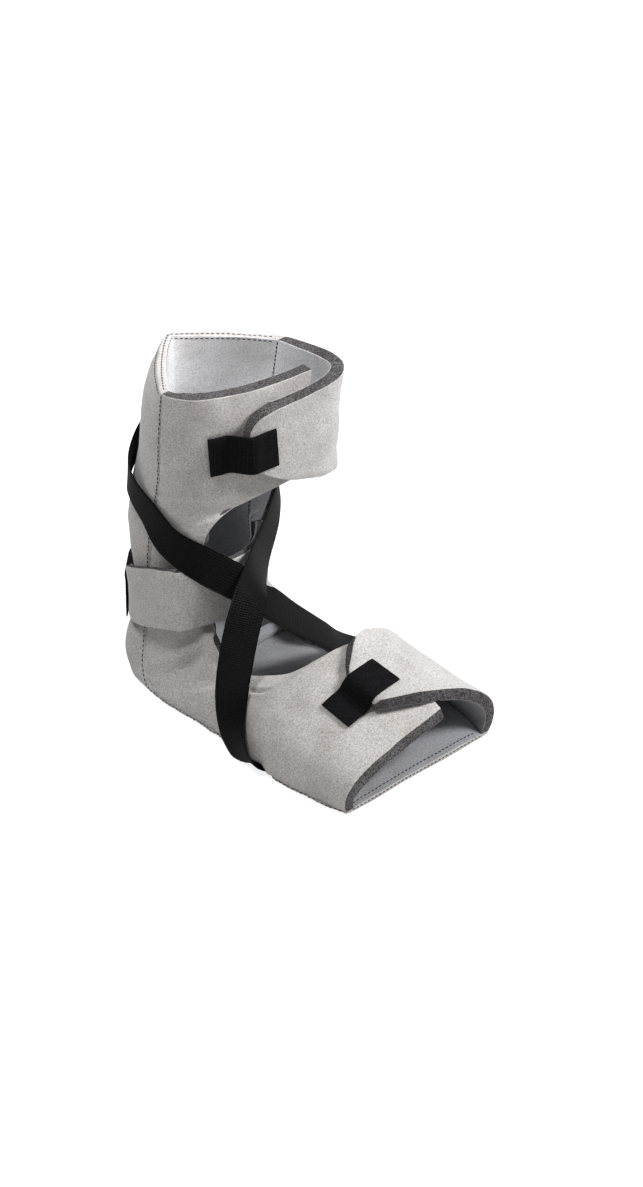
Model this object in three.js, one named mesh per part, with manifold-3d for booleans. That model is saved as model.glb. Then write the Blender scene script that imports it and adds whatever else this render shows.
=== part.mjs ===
// Plantar fasciitis night splint: a soft L-shaped boot of foam laminate that stands on its sole.
// Millimetres, +Z up, toes towards -Y, +X on the wearer's outer side of the lap closure.
// Each piece is one closed shell, worked out from the named sizes and the tables of shares below.
import * as THREE from 'three';
import Module from 'manifold-3d';

// Driving sizes of the whole splint
const height = 246;          // rim of the calf above the floor
const reach = 228;           // ankle line to the toe hem, along the floor
const halfWidth = 70;        // half the width of the sole at the toe
const heelReach = 42.3;      // ankle line back to the tape behind the heel

// Foam laminate, webbing and hook tape
const foam = 8;              // one layer of foam laminate
const bandFoam = 6;          // the thinner laminate of the ankle band
const pad = 14;              // thickness of the double panel in its middle
const hem = 4.5;             // the same panel where it is stitched flat at its two ends
const clearance = 0.5;       // gap between layers that lie on each other
const seamGap = 0.3;         // gap where two pieces are sewn edge to edge
const bandWidth = 50;        // ankle band
const webWidth = 25.4;       // 1 inch webbing
const webThickness = 1.6;
const tapeThickness = 1.2;   // hook tape
const calfTapeWidth = 30;
const footTapeWidth = 25.4;
const ankleTapeWidth = 28;
const openAbove = 4;         // foam is cleared this far above what lies on it
const bandSlack = 1.6;       // how far the band stands off the panel behind the heel

const layer = foam + clearance;
// The ankle line lies off the middle of the length, so the origin is moved to the middle of the box.
const ankleLine = (reach - heelReach) / 2;

const wasm = await Module();
wasm.setup();

const laminate = new THREE.MeshStandardMaterial({ color: 0xb9b6b3, roughness: 0.95, metalness: 0 });
const webbing = new THREE.MeshStandardMaterial({ color: 0x141414, roughness: 0.7, metalness: 0 });
const hookTape = new THREE.MeshStandardMaterial({ color: 0x0a090b, roughness: 0.9, metalness: 0 });

// Rows of numbers under the names of their columns
function table(columns, rows) {
  const names = columns.split(' ');
  return rows.map((row) => Object.fromEntries(names.map((name, i) => [name, row[i]])));
}

// The place `at` runs down the side seam: 0 at the rim, 1 at the ankle's foot, 2 where the heel
// meets the flat of the sole, 3 at the toe hem. Across, forward and up are shares of halfWidth,
// reach and height.
const seamRows = table('at across forward up', [
  [0.0, 0.857, 0.145, 1],
  [0.1, 0.846, 0.134, 0.915],
  [0.35, 0.807, 0.11, 0.707],
  [0.7, 0.76, 0.053, 0.411],
  [1.0, 0.815, 0.042, 0.159],
  [1.2, 0.865, 0.054, 0.106],
  [1.4, 0.92, 0.08, 0.071],
  [1.6, 0.975, 0.116, 0.041],
  [1.8, 1.02, 0.155, 0.022],
  [2.0, 1.04, 0.193, 0.012],
  [2.33, 1.06, 0.454, 0.016],
  [2.38, 1.09, 0.494, 0.021],
  [2.5, 1.13, 0.592, 0.021],
  [2.55, 1.14, 0.633, 0.016],
  [2.62, 1.14, 0.69, 0.012],
  [2.9, 1.06, 0.918, 0.012],
  [3.0, 1, 1, 0.012],
]);

// Middle line of the double panel, and the roundness of its section outside and inside: 1 is a
// straight V, 2 a round U, more is flat with round corners. Fill is its share of the full pad.
const spineRows = table('at forward up round roundInside fill flat', [
  [0.0, -0.105, 1, 1.15, 1.1, 0, 0],
  [0.1, -0.118, 0.915, 1.5, 1.2, 0.8, 0],
  [0.35, -0.14, 0.707, 1.95, 1.6, 1, 0],
  [0.65, -0.174, 0.45, 2.25, 1.9, 1, 0],
  [0.85, -0.168, 0.29, 2.1, 1.9, 1, 0],
  [1.0, -0.171, 0.171, 2.2, 2, 1, 0],
  [1.2, -0.163, 0.11, 2.4, 2, 1, 0],
  [1.4, -0.14, 0.045, 2.7, 2.2, 1, 0],
  [1.6, -0.08, 0.006, 3, 2.4, 1, 0],
  [1.8, 0.01, 0, 3.4, 2.6, 0.9, 0],
  [2.0, 0.193, 0, 4, 3, 0.9, 0.25],
  [2.3, 0.43, 0, 4, 3, 0.8, 0.25],
  [2.33, 0.454, 0.002, 4, 3, 0.8, 0.25],
  [2.38, 0.494, 0.009, 4, 3, 0.8, 0.25],
  [2.5, 0.592, 0.009, 4, 3, 0.8, 0.25],
  [2.55, 0.633, 0.002, 4, 3, 0.8, 0.25],
  [2.62, 0.69, 0, 4, 3, 0.9, 0.25],
  [2.9, 0.918, 0, 4, 3, 0.8, 0.25],
  [3.0, 1, 0, 4, 3, 0, 0.25],
]);

// Ribs of the wing sewn to the left seam: a rib leaves the seam towards `rise`, comes in to its
// free edge from `draw`, and is one smooth curve between them.
const ribColumns = 'at riseAcross riseForward riseUp drawAcross drawForward drawUp '
  + 'edgeAcross edgeForward edgeUp drawLap edgeLap';
const underRows = table(ribColumns, [
  [0.0, -0.857, 0.263, 1, -0.114, 0.329, 1, 0.614, 0.338, 1, 0, 0],
  [0.2, -0.843, 0.263, 0.833, -0.143, 0.329, 0.833, 0.543, 0.338, 0.833, 0, 0],
  [0.4, -0.829, 0.272, 0.671, -0.257, 0.311, 0.667, 0.429, 0.329, 0.659, 0, 0],
  [0.46, -0.814, 0.263, 0.626, -0.286, 0.311, 0.638, 0.286, 0.311, 0.642, 0, 0],
  [0.51, -0.807, 0.228, 0.577, -0.486, 0.298, 0.63, -0.143, 0.289, 0.638, 0, 0],
  [0.56, -0.807, 0.197, 0.545, -0.629, 0.281, 0.61, -0.4, 0.287, 0.626, 0, 0],
  [0.6, -0.8, 0.175, 0.516, -0.714, 0.254, 0.581, -0.6, 0.272, 0.598, 0, 0],
  [0.64, -0.8, 0.154, 0.48, -0.729, 0.219, 0.52, -0.671, 0.259, 0.541, 0, 0],
  [0.72, -0.8, 0.132, 0.402, -0.729, 0.184, 0.423, -0.643, 0.219, 0.439, 0, 0],
  [0.86, -0.807, 0.127, 0.276, -0.743, 0.206, 0.293, -0.643, 0.254, 0.309, 0, 0],
  [1.0, -0.857, 0.14, 0.171, -0.786, 0.237, 0.211, -0.671, 0.311, 0.224, 0, 0],
  [1.4, -0.943, 0.175, 0.102, -0.8, 0.316, 0.163, -0.643, 0.386, 0.154, 0, 0],
  [1.8, -1, 0.263, 0.073, -0.8, 0.404, 0.146, -0.571, 0.447, 0.15, 0, 0],
  [2.1, -1.043, 0.351, 0.098, -0.786, 0.474, 0.154, -0.5, 0.504, 0.167, 0, 0],
  [2.3, -1.057, 0.461, 0.122, -0.714, 0.561, 0.175, -0.371, 0.588, 0.203, 0, 0],
  [2.44, -1.079, 0.579, 0.146, -0.543, 0.64, 0.244, -0.143, 0.658, 0.268, 0, 0],
  [2.54, -1.086, 0.64, 0.154, -0.429, 0.684, 0.272, 0.214, 0.689, 0.287, 0, 0],
  [2.66, -1.086, 0.732, 0.15, -0.457, 0.746, 0.244, 0.314, 0.746, 0.266, 0, 0],
  [2.8, -1.079, 0.838, 0.146, -0.5, 0.838, 0.205, 0.357, 0.838, 0.236, 0, 0],
  [3.0, -1.114, 1, 0.114, -0.571, 1, 0.15, 0.3, 1, 0.195, 0, 0],
]);

// Ribs of the wing sewn to the right seam. Its two flaps lap over the other wing, so their draw and
// edge columns give the layer below, and the lap columns say how many layers the flap stands on it.
const overRows = table(ribColumns, [
  [0.0, 1.27, 0.469, 1, 0.643, 0.35, 0.967, 0.014, 0.329, 0.949, 1.4, 1.1],
  [0.07, 1.26, 0.452, 0.94, 0.6, 0.35, 0.92, -0.15, 0.318, 0.932, 1.4, 1.1],
  [0.16, 1.24, 0.434, 0.866, 0.571, 0.353, 0.862, -0.26, 0.303, 0.88, 1.4, 1.08],
  [0.26, 1.25, 0.428, 0.78, 0.571, 0.357, 0.785, -0.286, 0.303, 0.805, 1.4, 1.08],
  [0.35, 1.25, 0.42, 0.711, 0.6, 0.36, 0.732, -0.129, 0.314, 0.752, 1.35, 1.15],
  [0.42, 1.26, 0.395, 0.654, 0.743, 0.36, 0.69, 0.16, 0.333, 0.7, 1.3, 1.2],
  [0.46, 1.22, 0.33, 0.622, 1.04, 0.352, 0.65, 0.643, 0.343, 0.658, 1.2, 1.2],
  [0.49, 1.12, 0.26, 0.61, 1.08, 0.33, 0.638, 0.85, 0.342, 0.65, 0.8, 0.8],
  [0.52, 1.0, 0.19, 0.586, 1.04, 0.27, 0.62, 0.94, 0.31, 0.635, 0.4, 0.4],
  [0.56, 0.88, 0.145, 0.553, 0.97, 0.2, 0.59, 0.94, 0.235, 0.6, 0.1, 0.1],
  [0.61, 0.81, 0.112, 0.51, 0.87, 0.15, 0.545, 0.857, 0.175, 0.553, 0, 0],
  [0.67, 0.764, 0.088, 0.447, 0.771, 0.118, 0.472, 0.757, 0.132, 0.484, 0, 0],
  [0.75, 0.757, 0.064, 0.37, 0.71, 0.08, 0.378, 0.66, 0.091, 0.382, 0, 0],
  [0.9, 0.76, 0.053, 0.24, 0.69, 0.067, 0.244, 0.62, 0.085, 0.248, 0, 0],
  [1.1, 0.8, 0.067, 0.134, 0.74, 0.102, 0.154, 0.66, 0.128, 0.16, 0, 0],
  [1.5, 0.9, 0.127, 0.077, 0.8, 0.167, 0.108, 0.686, 0.197, 0.11, 0, 0],
  [1.85, 0.93, 0.193, 0.045, 0.79, 0.263, 0.08, 0.657, 0.289, 0.095, 0, 0],
  [2.15, 0.92, 0.333, 0.04, 0.77, 0.385, 0.063, 0.64, 0.4, 0.072, 0, 0],
  [2.34, 0.95, 0.474, 0.042, 0.76, 0.505, 0.062, 0.58, 0.515, 0.08, 0, 0],
  [2.46, 1.06, 0.588, 0.11, 0.72, 0.632, 0.18, 0.457, 0.645, 0.2, 0.4, 0.4],
  [2.53, 1.08, 0.636, 0.145, 0.72, 0.675, 0.236, 0.4, 0.689, 0.27, 0.9, 1.1],
  [2.58, 1.08, 0.667, 0.15, 0.657, 0.693, 0.25, 0.1, 0.702, 0.282, 1.1, 1.1],
  [2.65, 1.1, 0.719, 0.15, 0.629, 0.746, 0.26, -0.171, 0.768, 0.236, 1.3, 1.1],
  [2.73, 1.11, 0.781, 0.15, 0.6, 0.798, 0.26, -0.257, 0.803, 0.213, 1.5, 1.08],
  [2.83, 1.13, 0.868, 0.15, 0.571, 0.877, 0.244, -0.257, 0.855, 0.201, 1.5, 1.08],
  [2.93, 1.23, 0.947, 0.146, 0.557, 0.965, 0.216, -0.257, 0.89, 0.195, 1.5, 1.08],
  [3.0, 1.29, 1, 0.142, 0.543, 1.026, 0.203, -0.2, 0.908, 0.193, 1.55, 1.1],
]);

// Middle line of the ankle band, from the right seam across the front and round the left side to
// its end behind the heel. Facing is the way its outer face looks, from the front (0) towards the
// left side (90) and the back (180). Tilt leans that face up.
const bandRows = table('at across forward up facing tilt', [
  [0.0, 0.8, -0.04, 0.235, -105, 0],
  [0.08, 0.79, 0.01, 0.24, -88, 0],
  [0.17, 0.7, 0.078, 0.258, -62, 6],
  [0.28, 0.36, 0.185, 0.288, -32, 16],
  [0.4, 0.0, 0.252, 0.32, 5, 20],
  [0.5, -0.4, 0.282, 0.342, 22, 14],
  [0.58, -0.74, 0.258, 0.342, 50, 6],
  [0.68, -0.895, 0.175, 0.312, 85, 2],
  [0.8, -0.86, 0.035, 0.255, 103, 0],
  [0.9, -0.67, -0.078, 0.205, 125, 0],
  [1.0, -0.33, -0.168, 0.195, 150, 0],
]);

// Route of the webbing: one loop, as a row of places on its middle line. Facing and tilt say how
// its outer face looks, as for the band.
const webRows = table('across forward up facing tilt', [
  [0.0, -0.153, 0.7, 180, 0],
  [-0.4, -0.122, 0.672, 153, 0],
  [-0.73, -0.043, 0.615, 118, 0],
  [-0.82, 0.072, 0.545, 95, 0],
  [-0.84, 0.165, 0.49, 75, 8],
  [-0.68, 0.29, 0.447, 40, 22],
  [-0.4, 0.38, 0.395, 18, 40],
  [0.07, 0.45, 0.255, -8, 55],
  [0.42, 0.492, 0.152, -25, 60],
  [0.63, 0.505, 0.1, -45, 66],
  [0.85, 0.52, 0.068, -70, 66],
  [1.08, 0.535, 0.042, -90, 40],
  [1.13, 0.54, 0.018, -90, -20],
  [1.0, 0.542, 0.008, -90, -75],
  [0.5, 0.545, 0.005, -90, -90],
  [-0.5, 0.56, 0.005, -90, -90],
  [-1.03, 0.57, 0.008, -90, -105],
  [-1.17, 0.565, 0.022, -90, -160],
  [-1.17, 0.54, 0.07, 90, 12],
  [-0.98, 0.485, 0.15, 70, 30],
  [-0.73, 0.45, 0.275, 50, 33],
  [-0.46, 0.415, 0.405, 25, 32],
  [0.17, 0.256, 0.415, -35, 20],
  [0.51, 0.18, 0.451, -55, 14],
  [0.745, 0.126, 0.5, -75, 6],
  [0.84, 0.06, 0.545, -92, 0],
  [0.72, -0.04, 0.615, -117, 0],
  [0.4, -0.122, 0.672, -153, 0],
]);

// Value between two numbers
const mix = (a, b, t) => a + (b - a) * t;
const degrees = Math.PI / 180;

// Smooth value of a table's column at a place, without overshoot between the rows: a cubic through
// the rows whose slope is nought at a turn and the harmonic mean of its neighbours' elsewhere.
function reader(rows, column) {
  const x = rows.map((row) => row.at);
  const y = rows.map((row) => row[column]);
  const rise = x.slice(1).map((value, i) => (y[i + 1] - y[i]) / (value - x[i]));
  const slope = x.map((value, i) => {
    if (i === 0) return rise[0];
    if (i === x.length - 1) return rise[i - 1];
    if (rise[i - 1] * rise[i] <= 0) return 0;
    const before = x[i] - x[i - 1];
    const after = x[i + 1] - x[i];
    const early = 2 * after + before;
    const late = after + 2 * before;
    return (early + late) / (early / rise[i - 1] + late / rise[i]);
  });
  return (at) => {
    let i = 0;
    while (i < x.length - 2 && at > x[i + 1]) i += 1;
    const span = x[i + 1] - x[i];
    const t = (at - x[i]) / span;
    const a = (1 + 2 * t) * (1 - t) * (1 - t);
    const b = t * (1 - t) * (1 - t) * span;
    const c = t * t * (3 - 2 * t);
    const d = t * t * (t - 1) * span;
    return a * y[i] + b * slope[i] + c * y[i + 1] + d * slope[i + 1];
  };
}

// Reader of every column of a table at once
function readers(rows) {
  const columns = Object.keys(rows[0]);
  const read = Object.fromEntries(columns.map((column) => [column, reader(rows, column)]));
  return (at) => Object.fromEntries(columns.map((column) => [column, read[column](at)]));
}

// A place given by shares, as x across, y forward and z up from the ankle line on the floor
const place = (across, forward, up) => new THREE.Vector3(across * halfWidth, forward * reach, up * height);

// The way a face looks: turned by `facing` from the front to the left, and leaned up by `tilt`
function looks(facing, tilt) {
  const flat = Math.cos(tilt * degrees);
  return new THREE.Vector3(-Math.sin(facing * degrees) * flat, Math.cos(facing * degrees) * flat,
    Math.sin(tilt * degrees));
}

const seamAt = readers(seamRows);
const spineAt = readers(spineRows);

// Stations down the seam: even steps in each of its three stretches
function stations(leg, heel, sole) {
  const places = [];
  for (let i = 0; i < leg; i += 1) places.push(i / leg);
  for (let i = 0; i < heel; i += 1) places.push(1 + i / heel);
  for (let i = 0; i <= sole; i += 1) places.push(2 + i / sole);
  return places;
}

// Closed solid between an outer and an inner grid of points, rows by columns, with its four sides
// closed. A loop has its last row joined to its first. Its faces are turned to point out.
function shell(outer, inner, loop = false) {
  const rows = outer.length;
  const columns = outer[0].length;
  const points = [...outer.flat(), ...inner.flat()];
  const out = (i, j) => (i % rows) * columns + j;
  const into = (i, j) => rows * columns + out(i, j);
  const faces = [];
  const quad = (a, b, c, d) => faces.push([a, b, c], [a, c, d]);
  const lastRow = loop ? rows : rows - 1;
  for (let i = 0; i < lastRow; i += 1) {
    for (let j = 0; j < columns - 1; j += 1) {
      quad(out(i, j), out(i + 1, j), out(i + 1, j + 1), out(i, j + 1));
      quad(into(i, j), into(i, j + 1), into(i + 1, j + 1), into(i + 1, j));
    }
    quad(out(i, 0), into(i, 0), into(i + 1, 0), out(i + 1, 0));
    const last = columns - 1;
    quad(out(i, last), out(i + 1, last), into(i + 1, last), into(i, last));
  }
  for (let j = 0; j < columns - 1 && !loop; j += 1) {
    quad(out(0, j), out(0, j + 1), into(0, j + 1), into(0, j));
    quad(out(lastRow, j), into(lastRow, j), into(lastRow, j + 1), out(lastRow, j + 1));
  }
  // x across, y forward becomes the part's frame, with the toes towards -Y and the origin mid-length
  const framed = points.map((p) => new THREE.Vector3(p.x, ankleLine - p.y, p.z));
  const volume = faces.reduce((sum, [a, b, c]) => (
    sum + framed[a].dot(new THREE.Vector3().crossVectors(framed[b], framed[c])) / 6), 0);
  const turned = volume < 0 ? faces.map(([a, b, c]) => [a, c, b]) : faces;
  return new wasm.Manifold(new wasm.Mesh({
    numProp: 3,
    vertProperties: new Float32Array(framed.flatMap((p) => p.toArray())),
    triVerts: new Uint32Array(turned.flat()),
  }));
}

// The named mesh of a solid, of which only the largest piece is kept
function named(name, material, solid) {
  const pieces = solid.decompose().sort((a, b) => b.volume() - a.volume());
  const mesh = pieces[0].getMesh();
  const geometry = new THREE.BufferGeometry();
  geometry.setAttribute('position', new THREE.BufferAttribute(Float32Array.from(mesh.vertProperties), 3));
  geometry.setIndex(Array.from(mesh.triVerts));
  geometry.computeVertexNormals();
  const piece = new THREE.Mesh(geometry, material);
  piece.name = name;
  return piece;
}

// The double panel: calf back, heel and sole in one, with a section at each station that runs from
// seam to seam through the middle line. Its inner face is drawn in by the pad.
function spinePanel() {
  const steps = 13;
  const outer = [];
  const inner = [];
  for (const at of stations(14, 8, 14)) {
    const seam = seamAt(at);
    const spine = spineAt(at);
    const middle = place(0, spine.forward, spine.up);
    const inward = place(0, seam.forward, seam.up).sub(middle);
    const depth = inward.length();
    inward.normalize();
    const wide = seam.across * halfWidth;
    const thick = mix(hem, pad, spine.fill);
    const outerRow = [];
    const innerRow = [];
    for (let j = 0; j <= steps; j += 1) {
      const turn = (j / steps - 0.5) * Math.PI;
      const side = Math.sign(Math.sin(turn));
      const spread = Math.abs(Math.sin(turn));
      const fall = Math.max(Math.cos(turn), 0);
      const bend = 1 - fall ** (2 / spine.round);
      const lifted = Math.max(0, (bend - spine.flat) / (1 - spine.flat));
      const bendInside = 1 - fall ** (2 / spine.roundInside);
      outerRow.push(middle.clone()
        .addScaledVector(inward, lifted * (depth - seamGap / 2))
        .add(new THREE.Vector3(side * wide * spread ** (2 / spine.round), 0, 0)));
      innerRow.push(middle.clone()
        .addScaledVector(inward, mix(thick, depth - seamGap / 2, bendInside))
        .add(new THREE.Vector3(side * (wide - foam) * spread ** (2 / spine.roundInside), 0, 0)));
    }
    outer.push(outerRow);
    inner.push(innerRow);
  }
  return shell(outer, inner);
}

// Curve of one rib: a cubic from the seam by its rise and draw points to its free edge
function ribCurve(at, rib, side) {
  const seam = seamAt(at);
  const spine = spineAt(at);
  const start = place(side * seam.across, seam.forward, seam.up);
  const outward = place(0, seam.forward - spine.forward, seam.up - spine.up).normalize();
  start.addScaledVector(outward, seamGap / 2);
  // A flap lies on the layer below it: in front of it on the leg, and above it on the foot
  const lapWay = new THREE.Vector3(0, 1, 0).lerp(new THREE.Vector3(0, 0, 1), Math.min(1, Math.max(0, at - 1)));
  const rise = place(rib.riseAcross, rib.riseForward, rib.riseUp);
  const draw = place(rib.drawAcross, rib.drawForward, rib.drawUp).addScaledVector(lapWay, rib.drawLap * layer);
  const edge = place(rib.edgeAcross, rib.edgeForward, rib.edgeUp).addScaledVector(lapWay, rib.edgeLap * layer);
  return new THREE.CubicBezierCurve3(start, rise, draw, edge);
}

// Normals of a grid of points, from the differences to the neighbours, all to the side of `away`
function gridNormals(grid, away) {
  return grid.map((row, i) => row.map((point, j) => {
    const along = grid[Math.min(i + 1, grid.length - 1)][j].clone().sub(grid[Math.max(i - 1, 0)][j]);
    const across = row[Math.min(j + 1, row.length - 1)].clone().sub(row[Math.max(j - 1, 0)]);
    return across.cross(along).normalize().multiplyScalar(away);
  }));
}

// A wing: its ribs from rim to toe give the outer face, and the inner one is a foam layer further
// in. `spare` is a gap that is added to both faces, for the copy that other pieces are cut by.
function wing(rows, side, spare = 0) {
  const steps = 8;
  const ribAt = readers(rows);
  const outer = stations(14, 8, 14).map((at) => {
    const curve = ribCurve(at, ribAt(at), side);
    const points = Array.from({ length: steps + 1 }, (unused, j) => curve.getPoint(j / steps));
    points[0].addScaledVector(curve.getTangent(0), -spare);
    points[steps].addScaledVector(curve.getTangent(1), spare);
    return points;
  });
  outer[0].forEach((point) => { point.z += spare; });
  outer[outer.length - 1].forEach((point) => { point.y += spare; });
  const normals = gridNormals(outer, -side);
  // Next to the seam the two faces lie straight across from each other, as the panel's do
  const faced = (depth) => outer.map((row, i) => row.map((point, j) => {
    const settled = Math.min(1, point.distanceTo(row[0]) / (2 * foam));
    const outward = new THREE.Vector3(side, 0, 0).lerp(normals[i][j], settled).normalize();
    return point.clone().addScaledVector(outward, depth);
  }));
  return shell(faced(spare), faced(-foam - spare));
}

// A strip along a middle line: at each step its place, the way its face looks and its share of the
// full width. `spare` is a gap added all round, and `above` is more room on its outer side.
function strip(steps, width, thickness, loop = false, spare = 0, above = 0) {
  const count = steps.length;
  const outer = [];
  const inner = [];
  steps.forEach((step, i) => {
    const before = steps[loop ? (i + count - 1) % count : Math.max(i - 1, 0)].middle;
    const after = steps[loop ? (i + 1) % count : Math.min(i + 1, count - 1)].middle;
    const run = after.clone().sub(before).normalize();
    const beyond = loop ? 0 : spare * (Number(i === count - 1) - Number(i === 0));
    const sideways = run.clone().cross(step.face).normalize();
    const face = sideways.clone().cross(run).normalize();
    const half = (step.share ?? 1) * width / 2 + spare;
    const across = (depth) => [-half, 0, half].map((reachOut) => step.middle.clone()
      .addScaledVector(run, beyond).addScaledVector(sideways, reachOut).addScaledVector(face, depth));
    outer.push(across(thickness / 2 + spare + above));
    inner.push(across(-thickness / 2 - spare));
  });
  return shell(outer, inner, loop);
}

// Steps of the ankle band along its middle line, with a rounded free end
function bandSteps() {
  const count = 22;
  const endShare = 0.07;
  const narrowShare = 0.3;
  const bandAt = readers(bandRows);
  return Array.from({ length: count + 1 }, (unused, i) => {
    const at = i / count;
    const row = bandAt(at);
    const roundEnd = Math.min(1, (1 - at) / endShare);
    const narrowed = Math.min(1, (1 - at) / narrowShare);
    return {
      middle: place(row.across, row.forward, row.up),
      face: looks(row.facing, row.tilt),
      share: mix(0.84, 1, narrowed) * mix(0.55, 1, Math.sqrt(1 - (1 - roundEnd) ** 2)),
    };
  });
}

// Steps of the webbing: one closed loop through its route
function webSteps() {
  const count = 96;
  const middle = new THREE.CatmullRomCurve3(
    webRows.map((row) => place(row.across, row.forward, row.up)), true, 'centripetal');
  const face = new THREE.CatmullRomCurve3(
    webRows.map((row) => looks(row.facing, row.tilt)), true, 'centripetal');
  return Array.from({ length: count }, (unused, i) => ({
    middle: middle.getPoint(i / count),
    face: face.getPoint(i / count),
  }));
}

// A place on a wing's outer face, a little above it, with the way that the face looks there
function onWing(rows, side, at, along, lift) {
  const ribAt = readers(rows);
  const nudge = 0.01;
  const here = ribCurve(at, ribAt(at), side).getPoint(along);
  const back = ribCurve(at, ribAt(at), side).getPoint(along - nudge);
  const down = ribCurve(at + nudge, ribAt(at + nudge), side).getPoint(along);
  const face = here.clone().sub(back).cross(down.sub(here)).normalize().multiplyScalar(-side);
  return { middle: here.addScaledVector(face, lift), face };
}

// Steps of a hook tape through a few places that it lies on, as one smooth bend
function tapeSteps(places) {
  const count = 8;
  const middle = new THREE.CatmullRomCurve3(places.map((each) => each.middle), false, 'centripetal');
  const face = new THREE.CatmullRomCurve3(places.map((each) => each.face), false, 'centripetal');
  return Array.from({ length: count + 1 }, (unused, i) => ({
    middle: middle.getPoint(i / count),
    face: face.getPoint(i / count),
  }));
}

// Height of the tape's middle above the face that it is stuck to
const tapeLift = 2 * clearance + tapeThickness / 2;

// The tape of a flap lies on the wing below and steps up onto the flap's end
function flapTape(at, below, above) {
  return tapeSteps([
    ...below.map((along) => onWing(underRows, -1, at, along, tapeLift)),
    ...above.map((along) => onWing(overRows, 1, at, along, tapeLift)),
  ]);
}

// The tape on the band's end: up the band's outer face, and over its upper edge onto the panel
function bandTape() {
  const bandAt = readers(bandRows);
  const at = 0.955;
  const row = bandAt(at);
  const face = looks(row.facing, row.tilt);
  const middle = place(row.across, row.forward, row.up);
  const outside = bandFoam / 2 + tapeLift;
  const onPanel = tapeLift - bandFoam / 2 - bandSlack;
  const heights = [[-25, outside], [-9, outside], [8, outside], [18, outside], [27, onPanel]];
  return tapeSteps(heights.map(([rise, lift]) => ({
    middle: middle.clone().addScaledVector(face, lift).add(new THREE.Vector3(0, 0, rise)),
    face,
  })));
}

const web = webSteps();
const band = bandSteps();
const calfTape = flapTape(0.2, [0.37, 0.45, 0.53], [0.995, 0.94, 0.88]);
const footTape = flapTape(2.77, [0.59, 0.66, 0.72], [0.995, 0.91, 0.83]);
const ankleTape = bandTape();

// What lies on the foam presses a gap's depth into it, so each piece is cut by the room that the
// pieces outside it take up.
const webSolid = strip(web, webWidth, webThickness, true);
const calfTab = strip(calfTape, calfTapeWidth, tapeThickness);
const footTab = strip(footTape, footTapeWidth, tapeThickness);
const ankleTab = strip(ankleTape, ankleTapeWidth, tapeThickness);
const webRoom = strip(web, webWidth, webThickness, true, clearance, openAbove);
const calfRoom = strip(calfTape, calfTapeWidth, tapeThickness, false, clearance, openAbove);
const footRoom = strip(footTape, footTapeWidth, tapeThickness, false, clearance, openAbove);
const ankleRoom = strip(ankleTape, ankleTapeWidth, tapeThickness, false, clearance, openAbove);
const bandRoom = strip(band, bandWidth, bandFoam, false, clearance, openAbove);
const underRoom = wing(underRows, -1, clearance);
const overRoom = wing(overRows, 1, clearance);
const cutBy = (solid, rooms) => rooms.reduce((left, room) => left.subtract(room), solid);
const bandSolid = cutBy(strip(band, bandWidth, bandFoam), [webRoom, ankleRoom]);
const underSolid = cutBy(wing(underRows, -1), [webRoom, bandRoom, calfRoom, footRoom]);
const overSolid = cutBy(wing(overRows, 1), [underRoom, webRoom, bandRoom, calfRoom, footRoom]);
const spineSolid = cutBy(spinePanel(), [webRoom, bandRoom, ankleRoom, underRoom, overRoom]);

const splint = new THREE.Group();
splint.add(named('spine_panel', laminate, spineSolid));
splint.add(named('under_wing', laminate, underSolid));
splint.add(named('over_wing', laminate, overSolid));
splint.add(named('ankle_band', laminate, bandSolid));
splint.add(named('cross_strap', webbing, webSolid));
splint.add(named('calf_tab', hookTape, calfTab));
splint.add(named('foot_tab', hookTape, footTab));
splint.add(named('ankle_tab', hookTape, ankleTab));

export default splint;
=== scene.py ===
"""Looks of a plantar fasciitis night splint: foam laminate, webbing, hook tape and thread.

The splint is worked out in millimetres, as across, forward and up from the ankle line on the floor,
and `to_frame` turns that into the part's frame in metres.
"""
from __future__ import annotations

import logging
import math
from dataclasses import dataclass, field
from enum import Enum

import bpy
import numpy as np
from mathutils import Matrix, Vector


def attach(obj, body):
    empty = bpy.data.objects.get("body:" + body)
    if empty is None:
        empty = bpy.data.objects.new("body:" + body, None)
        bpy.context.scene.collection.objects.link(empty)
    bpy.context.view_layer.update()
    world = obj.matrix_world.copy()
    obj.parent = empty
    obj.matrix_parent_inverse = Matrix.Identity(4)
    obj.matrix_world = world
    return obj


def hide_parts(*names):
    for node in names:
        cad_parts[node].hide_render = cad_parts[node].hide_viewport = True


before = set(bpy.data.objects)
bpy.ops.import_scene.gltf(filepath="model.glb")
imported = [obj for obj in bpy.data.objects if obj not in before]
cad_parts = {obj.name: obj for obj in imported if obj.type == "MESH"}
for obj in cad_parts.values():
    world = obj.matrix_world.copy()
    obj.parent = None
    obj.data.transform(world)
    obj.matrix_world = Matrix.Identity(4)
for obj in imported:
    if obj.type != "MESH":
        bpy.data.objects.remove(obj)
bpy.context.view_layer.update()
log = logging.getLogger("splint")
Array = np.ndarray

MM = 0.001
DEGREES = math.pi / 180


@dataclass(frozen=True)
class Sizes:
    """Driving sizes of the whole splint, in millimetres."""

    height: float = 246.0
    reach: float = 228.0
    half_width: float = 70.0
    heel_reach: float = 42.3
    foam: float = 8.0
    swell: float = 1.8
    band_foam: float = 6.0
    pad: float = 14.0
    hem: float = 4.5
    clearance: float = 0.5
    seam_gap: float = 0.3
    band_width: float = 47.5
    web_width: float = 25.4
    web_thickness: float = 1.6
    tape_thickness: float = 1.2

    @property
    def layer(self) -> float:
        """One foam layer and the gap that it keeps to the next."""
        return self.foam + self.clearance

    @property
    def ankle_line(self) -> float:
        """How far the ankle line lies behind the middle of the length."""
        return (self.reach - self.heel_reach) / 2


SIZE = Sizes()


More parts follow.
